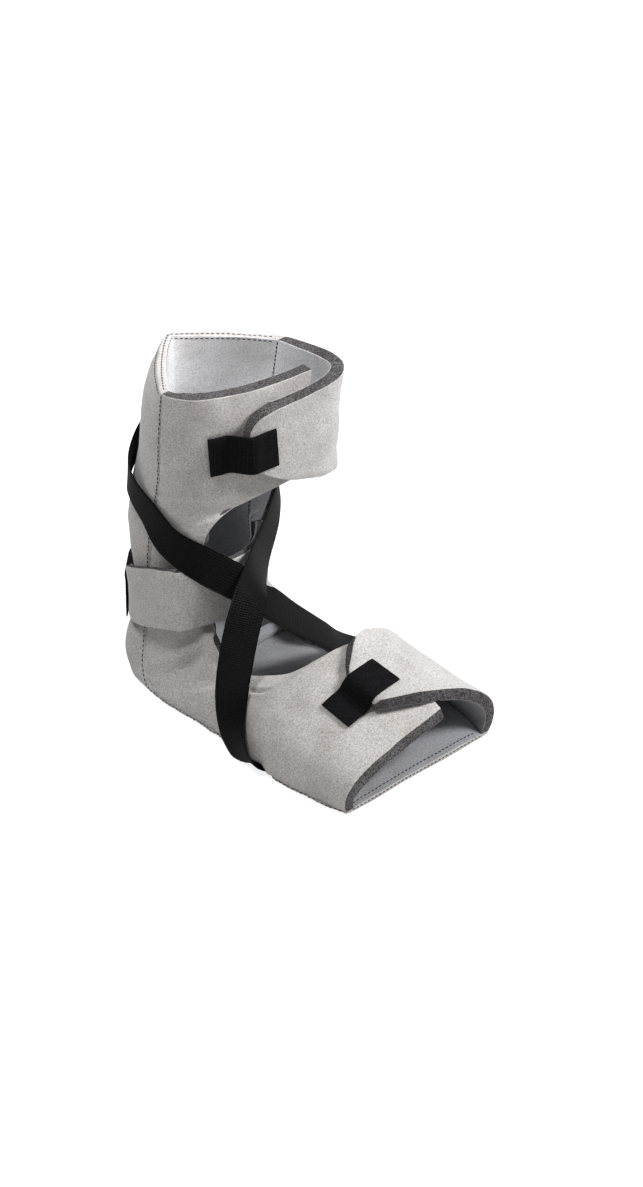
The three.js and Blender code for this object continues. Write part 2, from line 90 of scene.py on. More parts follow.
def monotone(x: Array, y: Array, at: Array) -> Array:
    """Smooth value between rows without overshoot.

    A cubic through the rows, whose slope is nought at a turn and the weighted harmonic mean of its
    two neighbours' elsewhere.

    Args:
        x: Places of the rows, rising.
        y: Values at the rows, one or more to a row.
        at: Places to read.

    Returns:
        The values at those places.
    """
    wide = (-1,) + (1,) * (y.ndim - 1)
    step = np.diff(x).reshape(wide)
    rise = np.diff(y, axis=0) / step
    slope = np.empty_like(y)
    slope[0], slope[-1] = rise[0], rise[-1]
    early, late = 2 * step[1:] + step[:-1], step[1:] + 2 * step[:-1]
    same = rise[:-1] * rise[1:] > 0
    safe_before, safe_after = np.where(same, rise[:-1], 1.0), np.where(same, rise[1:], 1.0)
    slope[1:-1] = np.where(same, (early + late) / (early / safe_before + late / safe_after), 0.0)
    i = np.clip(np.searchsorted(x, at, side="right") - 1, 0, len(x) - 2)
    span = step[i]
    t = (at - x[i]).reshape(wide) / span
    return ((1 + 2 * t) * (1 - t) ** 2 * y[i] + t * (1 - t) ** 2 * span * slope[i]
            + t * t * (3 - 2 * t) * y[i + 1] + t * t * (t - 1) * span * slope[i + 1])


class Table:
    """Rows of numbers under named columns, of which the first is the place."""

    def __init__(self, columns: str, rows: list[tuple[float, ...]]) -> None:
        """Keep the rows under the names of their columns."""
        self.names = columns.split()
        self.values = np.array(rows, dtype=float)

    def read(self, at: Array) -> dict[str, Array]:
        """Every column at the places `at`, by its name."""
        x = self.values[:, 0]
        return {name: monotone(x, self.values[:, k], at) for k, name in enumerate(self.names)}

    def column(self, name: str) -> Array:
        """The rows' own values in one column."""
        return self.values[:, self.names.index(name)]


# The side seam, at its places 0 rim, 1 foot of the ankle, 2 heel on the sole and 3 toe hem, as shares of
# the half width, the reach and the height.
SEAM = Table("at across forward up", [
    (0.0, 0.857, 0.145, 1),
    (0.1, 0.846, 0.134, 0.915),
    (0.35, 0.807, 0.11, 0.707),
    (0.7, 0.76, 0.053, 0.411),
    (1.0, 0.815, 0.042, 0.159),
    (1.2, 0.865, 0.054, 0.106),
    (1.4, 0.935, 0.08, 0.062),
    (1.6, 1.0, 0.116, 0.033),
    (1.8, 1.045, 0.155, 0.016),
    (2.0, 1.06, 0.193, 0.01),
    (2.33, 1.06, 0.454, 0.016),
    (2.38, 1.09, 0.494, 0.021),
    (2.5, 1.13, 0.592, 0.021),
    (2.55, 1.14, 0.633, 0.016),
    (2.62, 1.14, 0.69, 0.012),
    (2.9, 1.06, 0.918, 0.012),
    (3.0, 1, 1, 0.012),
])
# Middle line of the double panel, the roundness of its section outside and inside, and its fill.
SPINE = Table("at forward up round inside fill flat", [
    (0.0, -0.105, 1, 1.15, 1.1, 0, 0),
    (0.04, -0.11, 0.962, 1.4, 1.2, 0.4, 0),
    (0.1, -0.12, 0.915, 1.55, 1.35, 0.8, 0),
    (0.2, -0.13, 0.829, 1.7, 1.5, 1, 0),
    (0.35, -0.14, 0.707, 1.8, 1.6, 1, 0),
    (0.65, -0.174, 0.45, 2.25, 1.9, 1, 0),
    (0.85, -0.168, 0.29, 2.1, 1.9, 1, 0),
    (1.0, -0.16, 0.171, 2.1, 2, 1, 0),
    (1.2, -0.15, 0.11, 2.3, 2, 1, 0),
    (1.4, -0.135, 0.045, 2.8, 2.2, 1, 0),
    (1.6, -0.08, 0.006, 3.3, 2.4, 1, 0),
    (1.8, 0.01, 0, 4, 2.6, 0.9, 0),
    (2.0, 0.193, 0, 4, 3, 0.9, 0.25),
    (2.3, 0.43, 0, 4, 3, 0.8, 0.25),
    (2.33, 0.454, 0.002, 4, 3, 0.8, 0.25),
    (2.38, 0.494, 0.009, 4, 3, 0.8, 0.25),
    (2.5, 0.592, 0.009, 4, 3, 0.8, 0.25),
    (2.55, 0.633, 0.002, 4, 3, 0.8, 0.25),
    (2.62, 0.69, 0, 4, 3, 0.9, 0.25),
    (2.9, 0.918, 0, 4, 3, 0.8, 0.25),
    (3.0, 1, 0, 4, 3, 0, 0.25),
])
RIB_COLUMNS = ("at rise_across rise_forward rise_up draw_across draw_forward draw_up "
               "edge_across edge_forward edge_up draw_lap edge_lap")
# Ribs of the wing on the left seam: the points that a rib rises to, is drawn in by and ends at.
UNDER = Table(RIB_COLUMNS, [
    (0.0, -0.857, 0.263, 1, -0.114, 0.329, 1, 0.614, 0.338, 1, 0, 0),
    (0.2, -0.843, 0.263, 0.833, -0.143, 0.329, 0.833, 0.543, 0.338, 0.833, 0, 0),
    (0.4, -0.829, 0.272, 0.671, -0.257, 0.311, 0.667, 0.429, 0.329, 0.659, 0, 0),
    (0.46, -0.814, 0.263, 0.626, -0.286, 0.311, 0.638, 0.286, 0.311, 0.642, 0, 0),
    (0.51, -0.807, 0.228, 0.577, -0.486, 0.298, 0.63, -0.143, 0.289, 0.638, 0, 0),
    (0.56, -0.807, 0.197, 0.545, -0.629, 0.281, 0.61, -0.4, 0.287, 0.626, 0, 0),
    (0.6, -0.8, 0.175, 0.516, -0.714, 0.254, 0.581, -0.6, 0.272, 0.598, 0, 0),
    (0.64, -0.8, 0.154, 0.48, -0.729, 0.219, 0.52, -0.671, 0.259, 0.541, 0, 0),
    (0.72, -0.8, 0.132, 0.402, -0.729, 0.184, 0.423, -0.643, 0.219, 0.439, 0, 0),
    (0.86, -0.807, 0.127, 0.276, -0.743, 0.206, 0.293, -0.643, 0.254, 0.309, 0, 0),
    (1.0, -0.857, 0.14, 0.171, -0.786, 0.237, 0.211, -0.671, 0.311, 0.224, 0, 0),
    (1.4, -0.943, 0.175, 0.102, -0.8, 0.316, 0.163, -0.643, 0.386, 0.154, 0, 0),
    (1.8, -1, 0.263, 0.073, -0.8, 0.404, 0.146, -0.571, 0.447, 0.15, 0, 0),
    (2.1, -1.043, 0.351, 0.098, -0.786, 0.474, 0.154, -0.5, 0.504, 0.167, 0, 0),
    (2.3, -1.057, 0.461, 0.122, -0.714, 0.561, 0.175, -0.371, 0.588, 0.203, 0, 0),
    (2.44, -1.079, 0.579, 0.146, -0.543, 0.64, 0.244, -0.143, 0.658, 0.268, 0, 0),
    (2.54, -1.086, 0.64, 0.154, -0.429, 0.684, 0.272, 0.214, 0.689, 0.287, 0, 0),
    (2.66, -1.086, 0.732, 0.15, -0.457, 0.746, 0.244, 0.314, 0.746, 0.266, 0, 0),
    (2.8, -1.079, 0.838, 0.146, -0.5, 0.838, 0.205, 0.357, 0.838, 0.236, 0, 0),
    (3.0, -1.114, 1, 0.114, -0.571, 1, 0.15, 0.3, 1, 0.195, 0, 0),
])
# Ribs of the wing on the right seam, with the layers that its draw and edge points lie on.
OVER = Table(RIB_COLUMNS, [
    (0.0, 1.3, 0.48, 1, 0.643, 0.35, 0.967, 0.014, 0.329, 0.949, 1.4, 1.1),
    (0.07, 1.33, 0.475, 0.94, 0.6, 0.35, 0.92, -0.15, 0.318, 0.932, 1.4, 1.1),
    (0.16, 1.33, 0.468, 0.866, 0.571, 0.353, 0.862, -0.26, 0.303, 0.88, 1.4, 1.08),
    (0.26, 1.33, 0.456, 0.78, 0.571, 0.357, 0.785, -0.286, 0.303, 0.805, 1.4, 1.08),
    (0.35, 1.32, 0.438, 0.711, 0.6, 0.36, 0.732, -0.129, 0.314, 0.752, 1.35, 1.15),
    (0.42, 1.29, 0.395, 0.654, 0.76, 0.36, 0.69, 0.16, 0.333, 0.7, 1.3, 1.2),
    (0.46, 1.17, 0.33, 0.622, 0.95, 0.35, 0.65, 0.56, 0.34, 0.658, 1.2, 1.2),
    (0.49, 1.04, 0.26, 0.61, 0.98, 0.32, 0.638, 0.8, 0.33, 0.65, 0.8, 0.8),
    (0.52, 0.96, 0.19, 0.586, 0.96, 0.25, 0.62, 0.87, 0.27, 0.635, 0.4, 0.4),
    (0.56, 0.88, 0.145, 0.553, 0.95, 0.2, 0.59, 0.9, 0.235, 0.6, 0.1, 0.1),
    (0.61, 0.81, 0.112, 0.51, 0.87, 0.15, 0.545, 0.857, 0.175, 0.553, 0, 0),
    (0.67, 0.764, 0.088, 0.447, 0.79, 0.135, 0.47, 0.777, 0.156, 0.481, 0, 0),
    (0.75, 0.757, 0.064, 0.37, 0.74, 0.11, 0.378, 0.7, 0.142, 0.382, 0, 0),
    (0.9, 0.74, 0.053, 0.24, 0.69, 0.08, 0.244, 0.63, 0.1, 0.248, 0, 0),
    (1.1, 0.77, 0.064, 0.134, 0.71, 0.088, 0.154, 0.63, 0.108, 0.16, 0, 0),
    (1.5, 0.88, 0.125, 0.075, 0.78, 0.16, 0.1, 0.67, 0.19, 0.103, 0, 0),
    (1.85, 0.93, 0.193, 0.045, 0.79, 0.263, 0.08, 0.657, 0.289, 0.095, 0, 0),
    (2.15, 0.92, 0.333, 0.04, 0.77, 0.385, 0.063, 0.64, 0.4, 0.072, 0, 0),
    (2.34, 0.95, 0.474, 0.042, 0.76, 0.505, 0.062, 0.58, 0.515, 0.08, 0, 0),
    (2.46, 1.06, 0.588, 0.11, 0.72, 0.632, 0.18, 0.457, 0.645, 0.2, 0.4, 0.4),
    (2.53, 1.08, 0.636, 0.145, 0.72, 0.675, 0.236, 0.4, 0.689, 0.27, 0.9, 1.1),
    (2.58, 1.08, 0.667, 0.15, 0.657, 0.693, 0.25, 0.1, 0.702, 0.282, 1.1, 1.1),
    (2.65, 1.1, 0.719, 0.15, 0.629, 0.746, 0.26, -0.171, 0.768, 0.236, 1.3, 1.1),
    (2.73, 1.11, 0.781, 0.15, 0.6, 0.798, 0.26, -0.257, 0.803, 0.213, 1.5, 1.08),
    (2.83, 1.13, 0.868, 0.15, 0.571, 0.877, 0.248, -0.257, 0.855, 0.201, 1.6, 1.2),
    (2.93, 1.23, 0.947, 0.146, 0.557, 0.965, 0.216, -0.257, 0.89, 0.195, 1.95, 1.6),
    (3.0, 1.29, 1, 0.142, 0.543, 1.026, 0.203, -0.2, 0.908, 0.193, 2.1, 1.7),
])
# Middle line of the ankle band, from the right seam round the left side to its end behind the heel.
BAND = Table("at across forward up facing tilt", [
    (0.0, 0.8, -0.04, 0.235, -105, 0),
    (0.08, 0.79, 0.01, 0.24, -88, 0),
    (0.17, 0.7, 0.078, 0.262, -62, 3),
    (0.28, 0.36, 0.185, 0.308, -32, 4),
    (0.4, 0.0, 0.252, 0.334, 5, 4),
    (0.5, -0.4, 0.282, 0.354, 22, 3),
    (0.58, -0.74, 0.258, 0.357, 50, 2),
    (0.68, -0.895, 0.175, 0.333, 85, 2),
    (0.8, -0.86, 0.035, 0.272, 103, 0),
    (0.9, -0.67, -0.078, 0.213, 125, 0),
    (1.0, -0.33, -0.168, 0.195, 150, 0),
])
# Route of the webbing, one closed loop.
WEB = Table("across forward up facing tilt", [
    (0.0, -0.153, 0.7, 180, 0),
    (-0.4, -0.122, 0.672, 153, 0),
    (-0.73, -0.043, 0.635, 118, 0),
    (-0.82, 0.072, 0.575, 92, 0),
    (-0.84, 0.165, 0.518, 75, 8),
    (-0.68, 0.29, 0.468, 40, 22),
    (-0.4, 0.38, 0.403, 18, 40),
    (0.07, 0.45, 0.262, -8, 55),
    (0.42, 0.492, 0.166, -25, 60),
    (0.63, 0.505, 0.116, -45, 66),
    (0.85, 0.52, 0.08, -70, 66),
    (1.08, 0.535, 0.042, -90, 40),
    (1.13, 0.54, 0.018, -90, -20),
    (1.0, 0.542, 0.008, -90, -75),
    (0.5, 0.555, 0.005, -90, -90),
    (-0.5, 0.6, 0.005, -90, -90),
    (-1.04, 0.65, 0.008, -90, -105),
    (-1.165, 0.62, 0.022, -90, -160),
    (-1.125, 0.555, 0.07, 90, 12),
    (-0.945, 0.488, 0.15, 70, 30),
    (-0.73, 0.45, 0.275, 50, 33),
    (-0.46, 0.415, 0.405, 25, 32),
    (0.17, 0.266, 0.415, -35, 20),
    (0.55, 0.19, 0.451, -36, 14),
    (0.765, 0.134, 0.5, -52, 6),
    (0.84, 0.06, 0.545, -92, 0),
    (0.72, -0.04, 0.615, -117, 0),
    (0.4, -0.122, 0.672, -153, 0),
])
# Folds that the left wall keeps, from and to across, forward and up in millimetres, with their depth (a
# ridge where it is below nought), half width and bow: two on the heel and one pinch by the strap.
LEFT_FOLDS = (
    ((-62, 40, 14), (-62, 88, 68), 4.2, 4.5, 2.0),
    ((-60, 32, 21), (-62, 80, 77), -2.6, 5.0, 2.0),
    ((-53, 114, 36), (-49, 132, 45), 2.0, 2.2),
)


def place(across: Array, forward: Array, up: Array) -> Array:
    """Points from shares of the half width, the reach and the height, in millimetres."""
    across, forward, up = np.broadcast_arrays(across, forward, up)
    return np.stack([across * SIZE.half_width, forward * SIZE.reach, up * SIZE.height], axis=-1)


def eased_in(value: Array, start: float, end: float) -> Array:
    """From 0 at `start` to 1 at `end`, level at both."""
    t = np.clip((value - start) / (end - start), 0, 1)
    return t * t * (3 - 2 * t)


def worn(points: Array) -> Array:
    """Points as the cloth has crept in use.

    The rim has risen, most at the left and the back, the calf's back and the foot lean a little to
    the left, and the sole has crept forward at the toes. Each shift is a plane times an eased step,
    so the pieces keep clear of each other.
    """
    across, forward, up = points[..., 0], points[..., 1], points[..., 2]
    rise = np.clip(4.3 - 0.05 * across - 0.019 * forward, 0, None) * eased_in(up, 190, 246)
    lean = 3.0 * eased_in(forward, -30, 40) * (1 - eased_in(up, 70, 130))
    lean = lean + 3.2 * eased_in(up, 60, 120) * (1 - eased_in(forward, -15, 45))
    creep = (5.2 + 0.021 * across) * eased_in(forward, 140, 228)
    return np.stack([across - lean, forward + creep, up + rise], axis=-1)


def to_frame(points: Array) -> Array:
    """Across, forward and up in millimetres, turned into the part's frame in metres."""
    moved = worn(np.array(points, dtype=float)) * MM
    moved[..., 1] = SIZE.ankle_line * MM - moved[..., 1]
    return moved


def looks(facing: Array, tilt: Array) -> Array:
    """The way a face looks: turned by `facing` from the front to the left, leaned up by `tilt`."""
    flat = np.cos(tilt * DEGREES)
    return np.stack([-np.sin(facing * DEGREES) * flat, np.cos(facing * DEGREES) * flat,
                     np.sin(tilt * DEGREES)], axis=-1)


def unit(vectors: Array) -> Array:
    """Vectors made one long."""
    return vectors / np.maximum(np.linalg.norm(vectors, axis=-1, keepdims=True), 1e-9)


def catmull(points: Array, count: int, loop: bool) -> Array:
    """Curve through points, as even steps of its parameter.

    Between two points it is the centripetal cubic, whose slopes come from the points before and
    after, each weighted by the square root of its distance.

    Args:
        points: Places or directions, one a row.
        count: Number of places to return, without the repeated last one on a loop.
        loop: Whether the last point joins the first.

    Returns:
        The places on the curve.
    """
    number = len(points)
    spans = number if loop else number - 1
    t = np.arange(count) / count * spans if loop else np.linspace(0, spans, count)
    i = np.minimum(t.astype(int), spans - 1)
    w = (t - i)[:, None]
    if loop:
        p0, p1, p2, p3 = (points[(i + k) % number] for k in (-1, 0, 1, 2))
    else:
        padded = np.vstack([2 * points[0] - points[1], points, 2 * points[-1] - points[-2]])
        p0, p1, p2, p3 = (padded[i + k] for k in (0, 1, 2, 3))
    d0, d1, d2 = (np.maximum(np.linalg.norm(b - a, axis=1, keepdims=True) ** 0.5, 1e-4)
                  for a, b in ((p0, p1), (p1, p2), (p2, p3)))
    m1 = ((p1 - p0) / d0 - (p2 - p0) / (d0 + d1) + (p2 - p1) / d1) * d1
    m2 = ((p2 - p1) / d1 - (p3 - p1) / (d1 + d2) + (p3 - p2) / d2) * d1
    return ((2 * w ** 3 - 3 * w ** 2 + 1) * p1 + (w ** 3 - 2 * w ** 2 + w) * m1
            + (-2 * w ** 3 + 3 * w ** 2) * p2 + (w ** 3 - w ** 2) * m2)


def wander(points: Array, size: float, seed: int) -> Array:
    """Smooth random relief from about -1 to 1.

    The sum of ten plane waves in random directions, each with a wavelength near `size`.

    Args:
        points: Places in millimetres.
        size: Mean wavelength in millimetres.
        seed: Number that settles the waves.

    Returns:
        One value a point.
    """
    chance = np.random.default_rng(seed)
    waves = unit(chance.normal(size=(10, 3))) * (2 * math.pi / (size * chance.uniform(0.7, 1.6, (10, 1))))
    phase = chance.uniform(0, 2 * math.pi, 10)
    return np.sin(points @ waves.T + phase).sum(axis=-1) / 10 ** 0.5


def grid_normals(grid: Array, loop: bool = False) -> Array:
    """Unit normals of a grid of points: rows' difference crossed with columns' difference."""
    if loop:
        down = np.roll(grid, -1, axis=0) - np.roll(grid, 1, axis=0)
    else:
        down = np.gradient(grid, axis=0)
    return unit(np.cross(np.gradient(grid, axis=1), down))


def blurred(values: Array, passes: int) -> Array:
    """A grid of numbers with each averaged with its four neighbours, a few times over."""
    for _ in range(passes):
        edge = np.pad(values, 1, mode="edge")
        values = (edge[:-2, 1:-1] + edge[2:, 1:-1] + edge[1:-1, :-2] + edge[1:-1, 2:] + 2 * values) / 6
    return values


def eased(distance: Array, radius: float) -> Array:
    """How far a face has sunk at a distance from its rounded edge, a quarter circle of that radius."""
    inside = np.clip(radius - distance, 0, radius)
    return radius - np.sqrt(radius ** 2 - inside ** 2)


class Face(Enum):
    """Which finish a face of a foam piece shows."""

    OUTSIDE = 0
    LINING = 1
    EDGE = 2


@dataclass
class Shell:
    """A closed solid between an outer and an inner grid of points, in millimetres.

    Its surface is the two grids and, round their rim, `layers` rows of points between them. Those
    rows stand proud of the straight line by a low arch, `bulge` high.
    """

    name: str
    outer: Array
    inner: Array
    loop: bool = False
    layers: int = 3
    bulge: float = 0.0
    rim_face: Face = Face.EDGE
    seam_face: Face = Face.EDGE
    lining: Face = Face.LINING

    def rims(self) -> list[Array]:
        """Closed paths of grid places round the rim, as pairs of row and column."""
        rows, columns = self.outer.shape[:2]
        if self.loop:
            return [np.stack([np.arange(rows), np.full(rows, j)], 1) for j in (0, columns - 1)]
        top = np.stack([np.zeros(columns - 1, int), np.arange(columns - 1)], 1)
        right = np.stack([np.arange(rows - 1), np.full(rows - 1, columns - 1)], 1)
        bottom = np.stack([np.full(columns - 1, rows - 1), np.arange(columns - 1, 0, -1)], 1)
        left = np.stack([np.arange(rows - 1, 0, -1), np.zeros(rows - 1, int)], 1)
        return [np.vstack([top, right, bottom, left])]

    def build(self, material_list: list[bpy.types.Material], uv: Array | None = None) -> bpy.types.Object:
        """Make the mesh object.

        Args:
            material_list: Materials in the order of `Face`.
            uv: Optional place along and across the cloth of every grid point, in metres.

        Returns:
            The new object, at the origin.
        """
        rows, columns = self.outer.shape[:2]
        index = np.arange(rows * columns).reshape(rows, columns)
        wrapped = np.vstack([index, index[:1]]) if self.loop else index
        a, b, c, d = wrapped[:-1, :-1], wrapped[1:, :-1], wrapped[1:, 1:], wrapped[:-1, 1:]
        top = np.stack([a, b, c, d], -1).reshape(-1, 4)
        bottom = top[:, ::-1] + rows * columns
        points = [self.outer.reshape(-1, 3), self.inner.reshape(-1, 3)]
        faces, slots = [top, bottom], [np.full(len(top), 0), np.full(len(bottom), self.lining.value)]
        count = 2 * rows * columns
        for number, path in enumerate(self.rims()):
            i, j = path[:, 0], path[:, 1]
            start, end = self.outer[i, j], self.inner[i, j]
            within = self.outer[np.clip(i, 1, rows - 2) if not self.loop else i, np.clip(j, 1, columns - 2)]
            away = unit(start - within)
            rings = [index[i, j]]
            for k in range(self.layers):
                t = (k + 1) / (self.layers + 1)
                points.append(start + (end - start) * t + away * self.bulge * math.sin(math.pi * t))
                rings.append(np.arange(len(path)) + count)
                count += len(path)
            rings.append(index[i, j] + rows * columns)
            seam = (j == 0) & (np.roll(j, -1) == 0) if number == 0 else np.zeros(len(path), bool)
            both = seam | ((j == columns - 1) & (np.roll(j, -1) == columns - 1))
            which = np.where(both if self.rim_face is not Face.EDGE else seam,
                             self.seam_face.value, self.rim_face.value)
            for one, two in zip(rings[:-1], rings[1:]):
                strip = np.stack([one, np.roll(one, -1), np.roll(two, -1), two], -1)
                faces.append(strip[:, ::-1] if number == 1 else strip)
                slots.append(which)
        vertices, quads = to_frame(np.vstack(points)), np.vstack(faces)
        corners = vertices[quads]
        volume = (np.cross(corners[:, 0], corners[:, 1]) * corners[:, 2]).sum()
        volume += (np.cross(corners[:, 0], corners[:, 2]) * corners[:, 3]).sum()
        if volume < 0:
            quads = quads[:, ::-1]
        mesh = quad_mesh(self.name, vertices, quads)
        for material in material_list:
            mesh.materials.append(material)
        mesh.polygons.foreach_set("material_index", np.concatenate(slots).astype(np.int32))
        if uv is not None:
            flat = uv.reshape(-1, 2)
            spare = np.zeros((len(vertices) - 2 * len(flat), 2))
            corner_uv = np.vstack([flat, flat, spare])[quads]
            length = flat[:, 0].max()
            near_end = corner_uv[:, :, 0].max(axis=1, keepdims=True) > 0.8 * length
            corner_uv[:, :, 0] += np.where(near_end & (corner_uv[:, :, 0] < 0.2 * length), length, 0)
            layer = mesh.uv_layers.new(name="cloth")
            layer.data.foreach_set("uv", corner_uv.astype(np.float32).ravel())
        piece = bpy.data.objects.new(self.name, mesh)
        bpy.context.collection.objects.link(piece)
        return piece


def quad_mesh(name: str, vertices: Array, quads: Array) -> bpy.types.Mesh:
    """A smooth-shaded mesh from points in metres and rows of four corners."""
    mesh = bpy.data.meshes.new(name)
    mesh.vertices.add(len(vertices))
    mesh.vertices.foreach_set("co", vertices.astype(np.float32).ravel())
    mesh.loops.add(quads.size)
    mesh.loops.foreach_set("vertex_index", quads.astype(np.int32).ravel())
    mesh.polygons.add(len(quads))
    mesh.polygons.foreach_set("loop_start", np.arange(0, quads.size, 4, dtype=np.int32))
    mesh.polygons.foreach_set("use_smooth", np.ones(len(quads), bool))
    mesh.update(calc_edges=True)
    mesh.validate()
    return mesh


@dataclass
class Strip:
    """A flat strip along a middle line, and what it presses into.

    Attributes:
        middle: Places of the middle line in millimetres.
        face: The way the outer face looks at each place.
        width: Full width in millimetres.
        thickness: Thickness in millimetres.
        share: Share of the full width at each place.
        loop: Whether the strip closes on itself.
    """

    middle: Array
    face: Array
    width: float
    thickness: float
    share: Array
    loop: bool = False
    run: Array = field(init=False)
    side: Array = field(init=False)

    def __post_init__(self) -> None:
        """Square the face to the run of the strip at every place."""
        if self.loop:
            run = np.roll(self.middle, -1, axis=0) - np.roll(self.middle, 1, axis=0)
        else:
            run = np.gradient(self.middle, axis=0)
        self.run = unit(run)
        self.side = unit(np.cross(self.run, self.face))
        self.face = unit(np.cross(self.side, self.run))

    def grids(self, columns: int, soft: float = 0.3) -> tuple[Array, Array, Array]:
        """Outer and inner grid, and the distance of each column from the middle line.

        The faces lie half a thickness from the middle line and draw together near both selvedges
        in a quarter round of radius `soft`.

        Args:
            columns: Number of points across.
            soft: Radius of the selvedge in millimetres.

        Returns:
            The outer grid, the inner grid, and the signed distances across.
        """
        turn = np.linspace(-1, 1, columns)
        spread = np.sin(turn * math.pi / 2) * 0.35 + turn * 0.65
        half = (self.share * self.width / 2)[:, None]
        reach = half * spread[None, :]
        sunk = eased(half - np.abs(reach), soft)
        lift = np.maximum(self.thickness / 2 - sunk, 0.12 * self.thickness)[..., None]
        flat = self.middle[:, None] + self.side[:, None] * reach[..., None]
        return flat + self.face[:, None] * lift, flat - self.face[:, None] * lift, reach

    def length(self) -> Array:
        """Distance along the middle line at each place, in millimetres."""
        steps = np.linalg.norm(np.diff(self.middle, axis=0), axis=1)
        return np.concatenate([[0.0], np.cumsum(steps)])

    def press(self, points: Array, outward: Array, gap: float, reach: float = 9.0) -> Array:
        """How deep this strip presses a surface in.

        Every point is measured in the frame of the nearest place on the strip. Under the strip the
        surface has to stay `gap` below its inner face, and beyond the selvedge the limit rises with
        the square of the distance, so the foam swells up beside the strip.

        Args:
            points: Grid of points in millimetres.
            outward: Their unit normals.
            gap: Clearance in millimetres.
            reach: Depth over which the strip takes hold of the surface.

        Returns:
            The depth for each point, from nought.
        """
        flat, normals = points.reshape(-1, 3), outward.reshape(-1, 3)
        depth = np.zeros(len(flat))
        for first in range(0, len(flat), 4000):
            part, way = flat[first:first + 4000], normals[first:first + 4000]
            gaps = ((part[:, None] - self.middle[None]) ** 2).sum(-1)
            k = gaps.argmin(axis=1)
            offset = part - self.middle[k]
            high = (offset * self.face[k]).sum(-1)
            wide = np.abs((offset * self.side[k]).sum(-1)) - self.share[k] * self.width / 2
            along = np.abs((offset * self.run[k]).sum(-1))
            limit = -self.thickness / 2 - gap + 0.16 * np.clip(wide - 0.4, 0, None) ** 2
            limit = limit + 0.4 * np.clip(along - 2.0, 0, None) ** 2
            facing = (way * self.face[k]).sum(-1)
            held = (facing > 0.25) & (np.abs(high) < reach) & (wide < 9)
            depth[first:first + 4000] = np.where(held, np.clip((high - limit) / np.maximum(facing, 0.25),
                                                              0, None), 0)
        return depth.reshape(points.shape[:2])


def stations() -> Array:
    """Places down the seam, close together next to the rim and the toe hem."""
    near = np.array([0.0012, 0.0028, 0.005])
    return np.unique(np.concatenate([
        np.linspace(0, 1, 110, endpoint=False), np.linspace(1, 2, 70, endpoint=False),
        np.linspace(2, 3, 121), near, 3 - near]))


AT = stations()
RIB_AT = np.sort(np.concatenate([np.arange(14) / 14, [0.464], 1 + np.arange(8) / 8,
                                 2 + np.arange(15) / 14]))
RIB_STEPS = np.unique(np.concatenate([np.linspace(0, 1, 57), [0.006, 0.012, 0.988, 0.994]]))


class Side(Enum):
    """The seam that a wing is sewn to, as the sign of its place across."""

    LEFT = -1
    RIGHT = 1


def walked(grid: Array, axis: int) -> Array:
    """Distance walked along one axis of a grid of points, from its first row or column."""
    steps = np.linalg.norm(np.diff(grid, axis=axis), axis=-1)
    start = np.zeros_like(np.take(steps, [0], axis=axis))
    return np.cumsum(np.concatenate([start, steps], axis=axis), axis=axis)


def away_from(grid: Array, other: Array) -> Array:
    """Unit normals of a grid that look away from the other face of the same piece."""
    normals = grid_normals(grid)
    return normals * np.sign((normals * (grid - other)).sum())


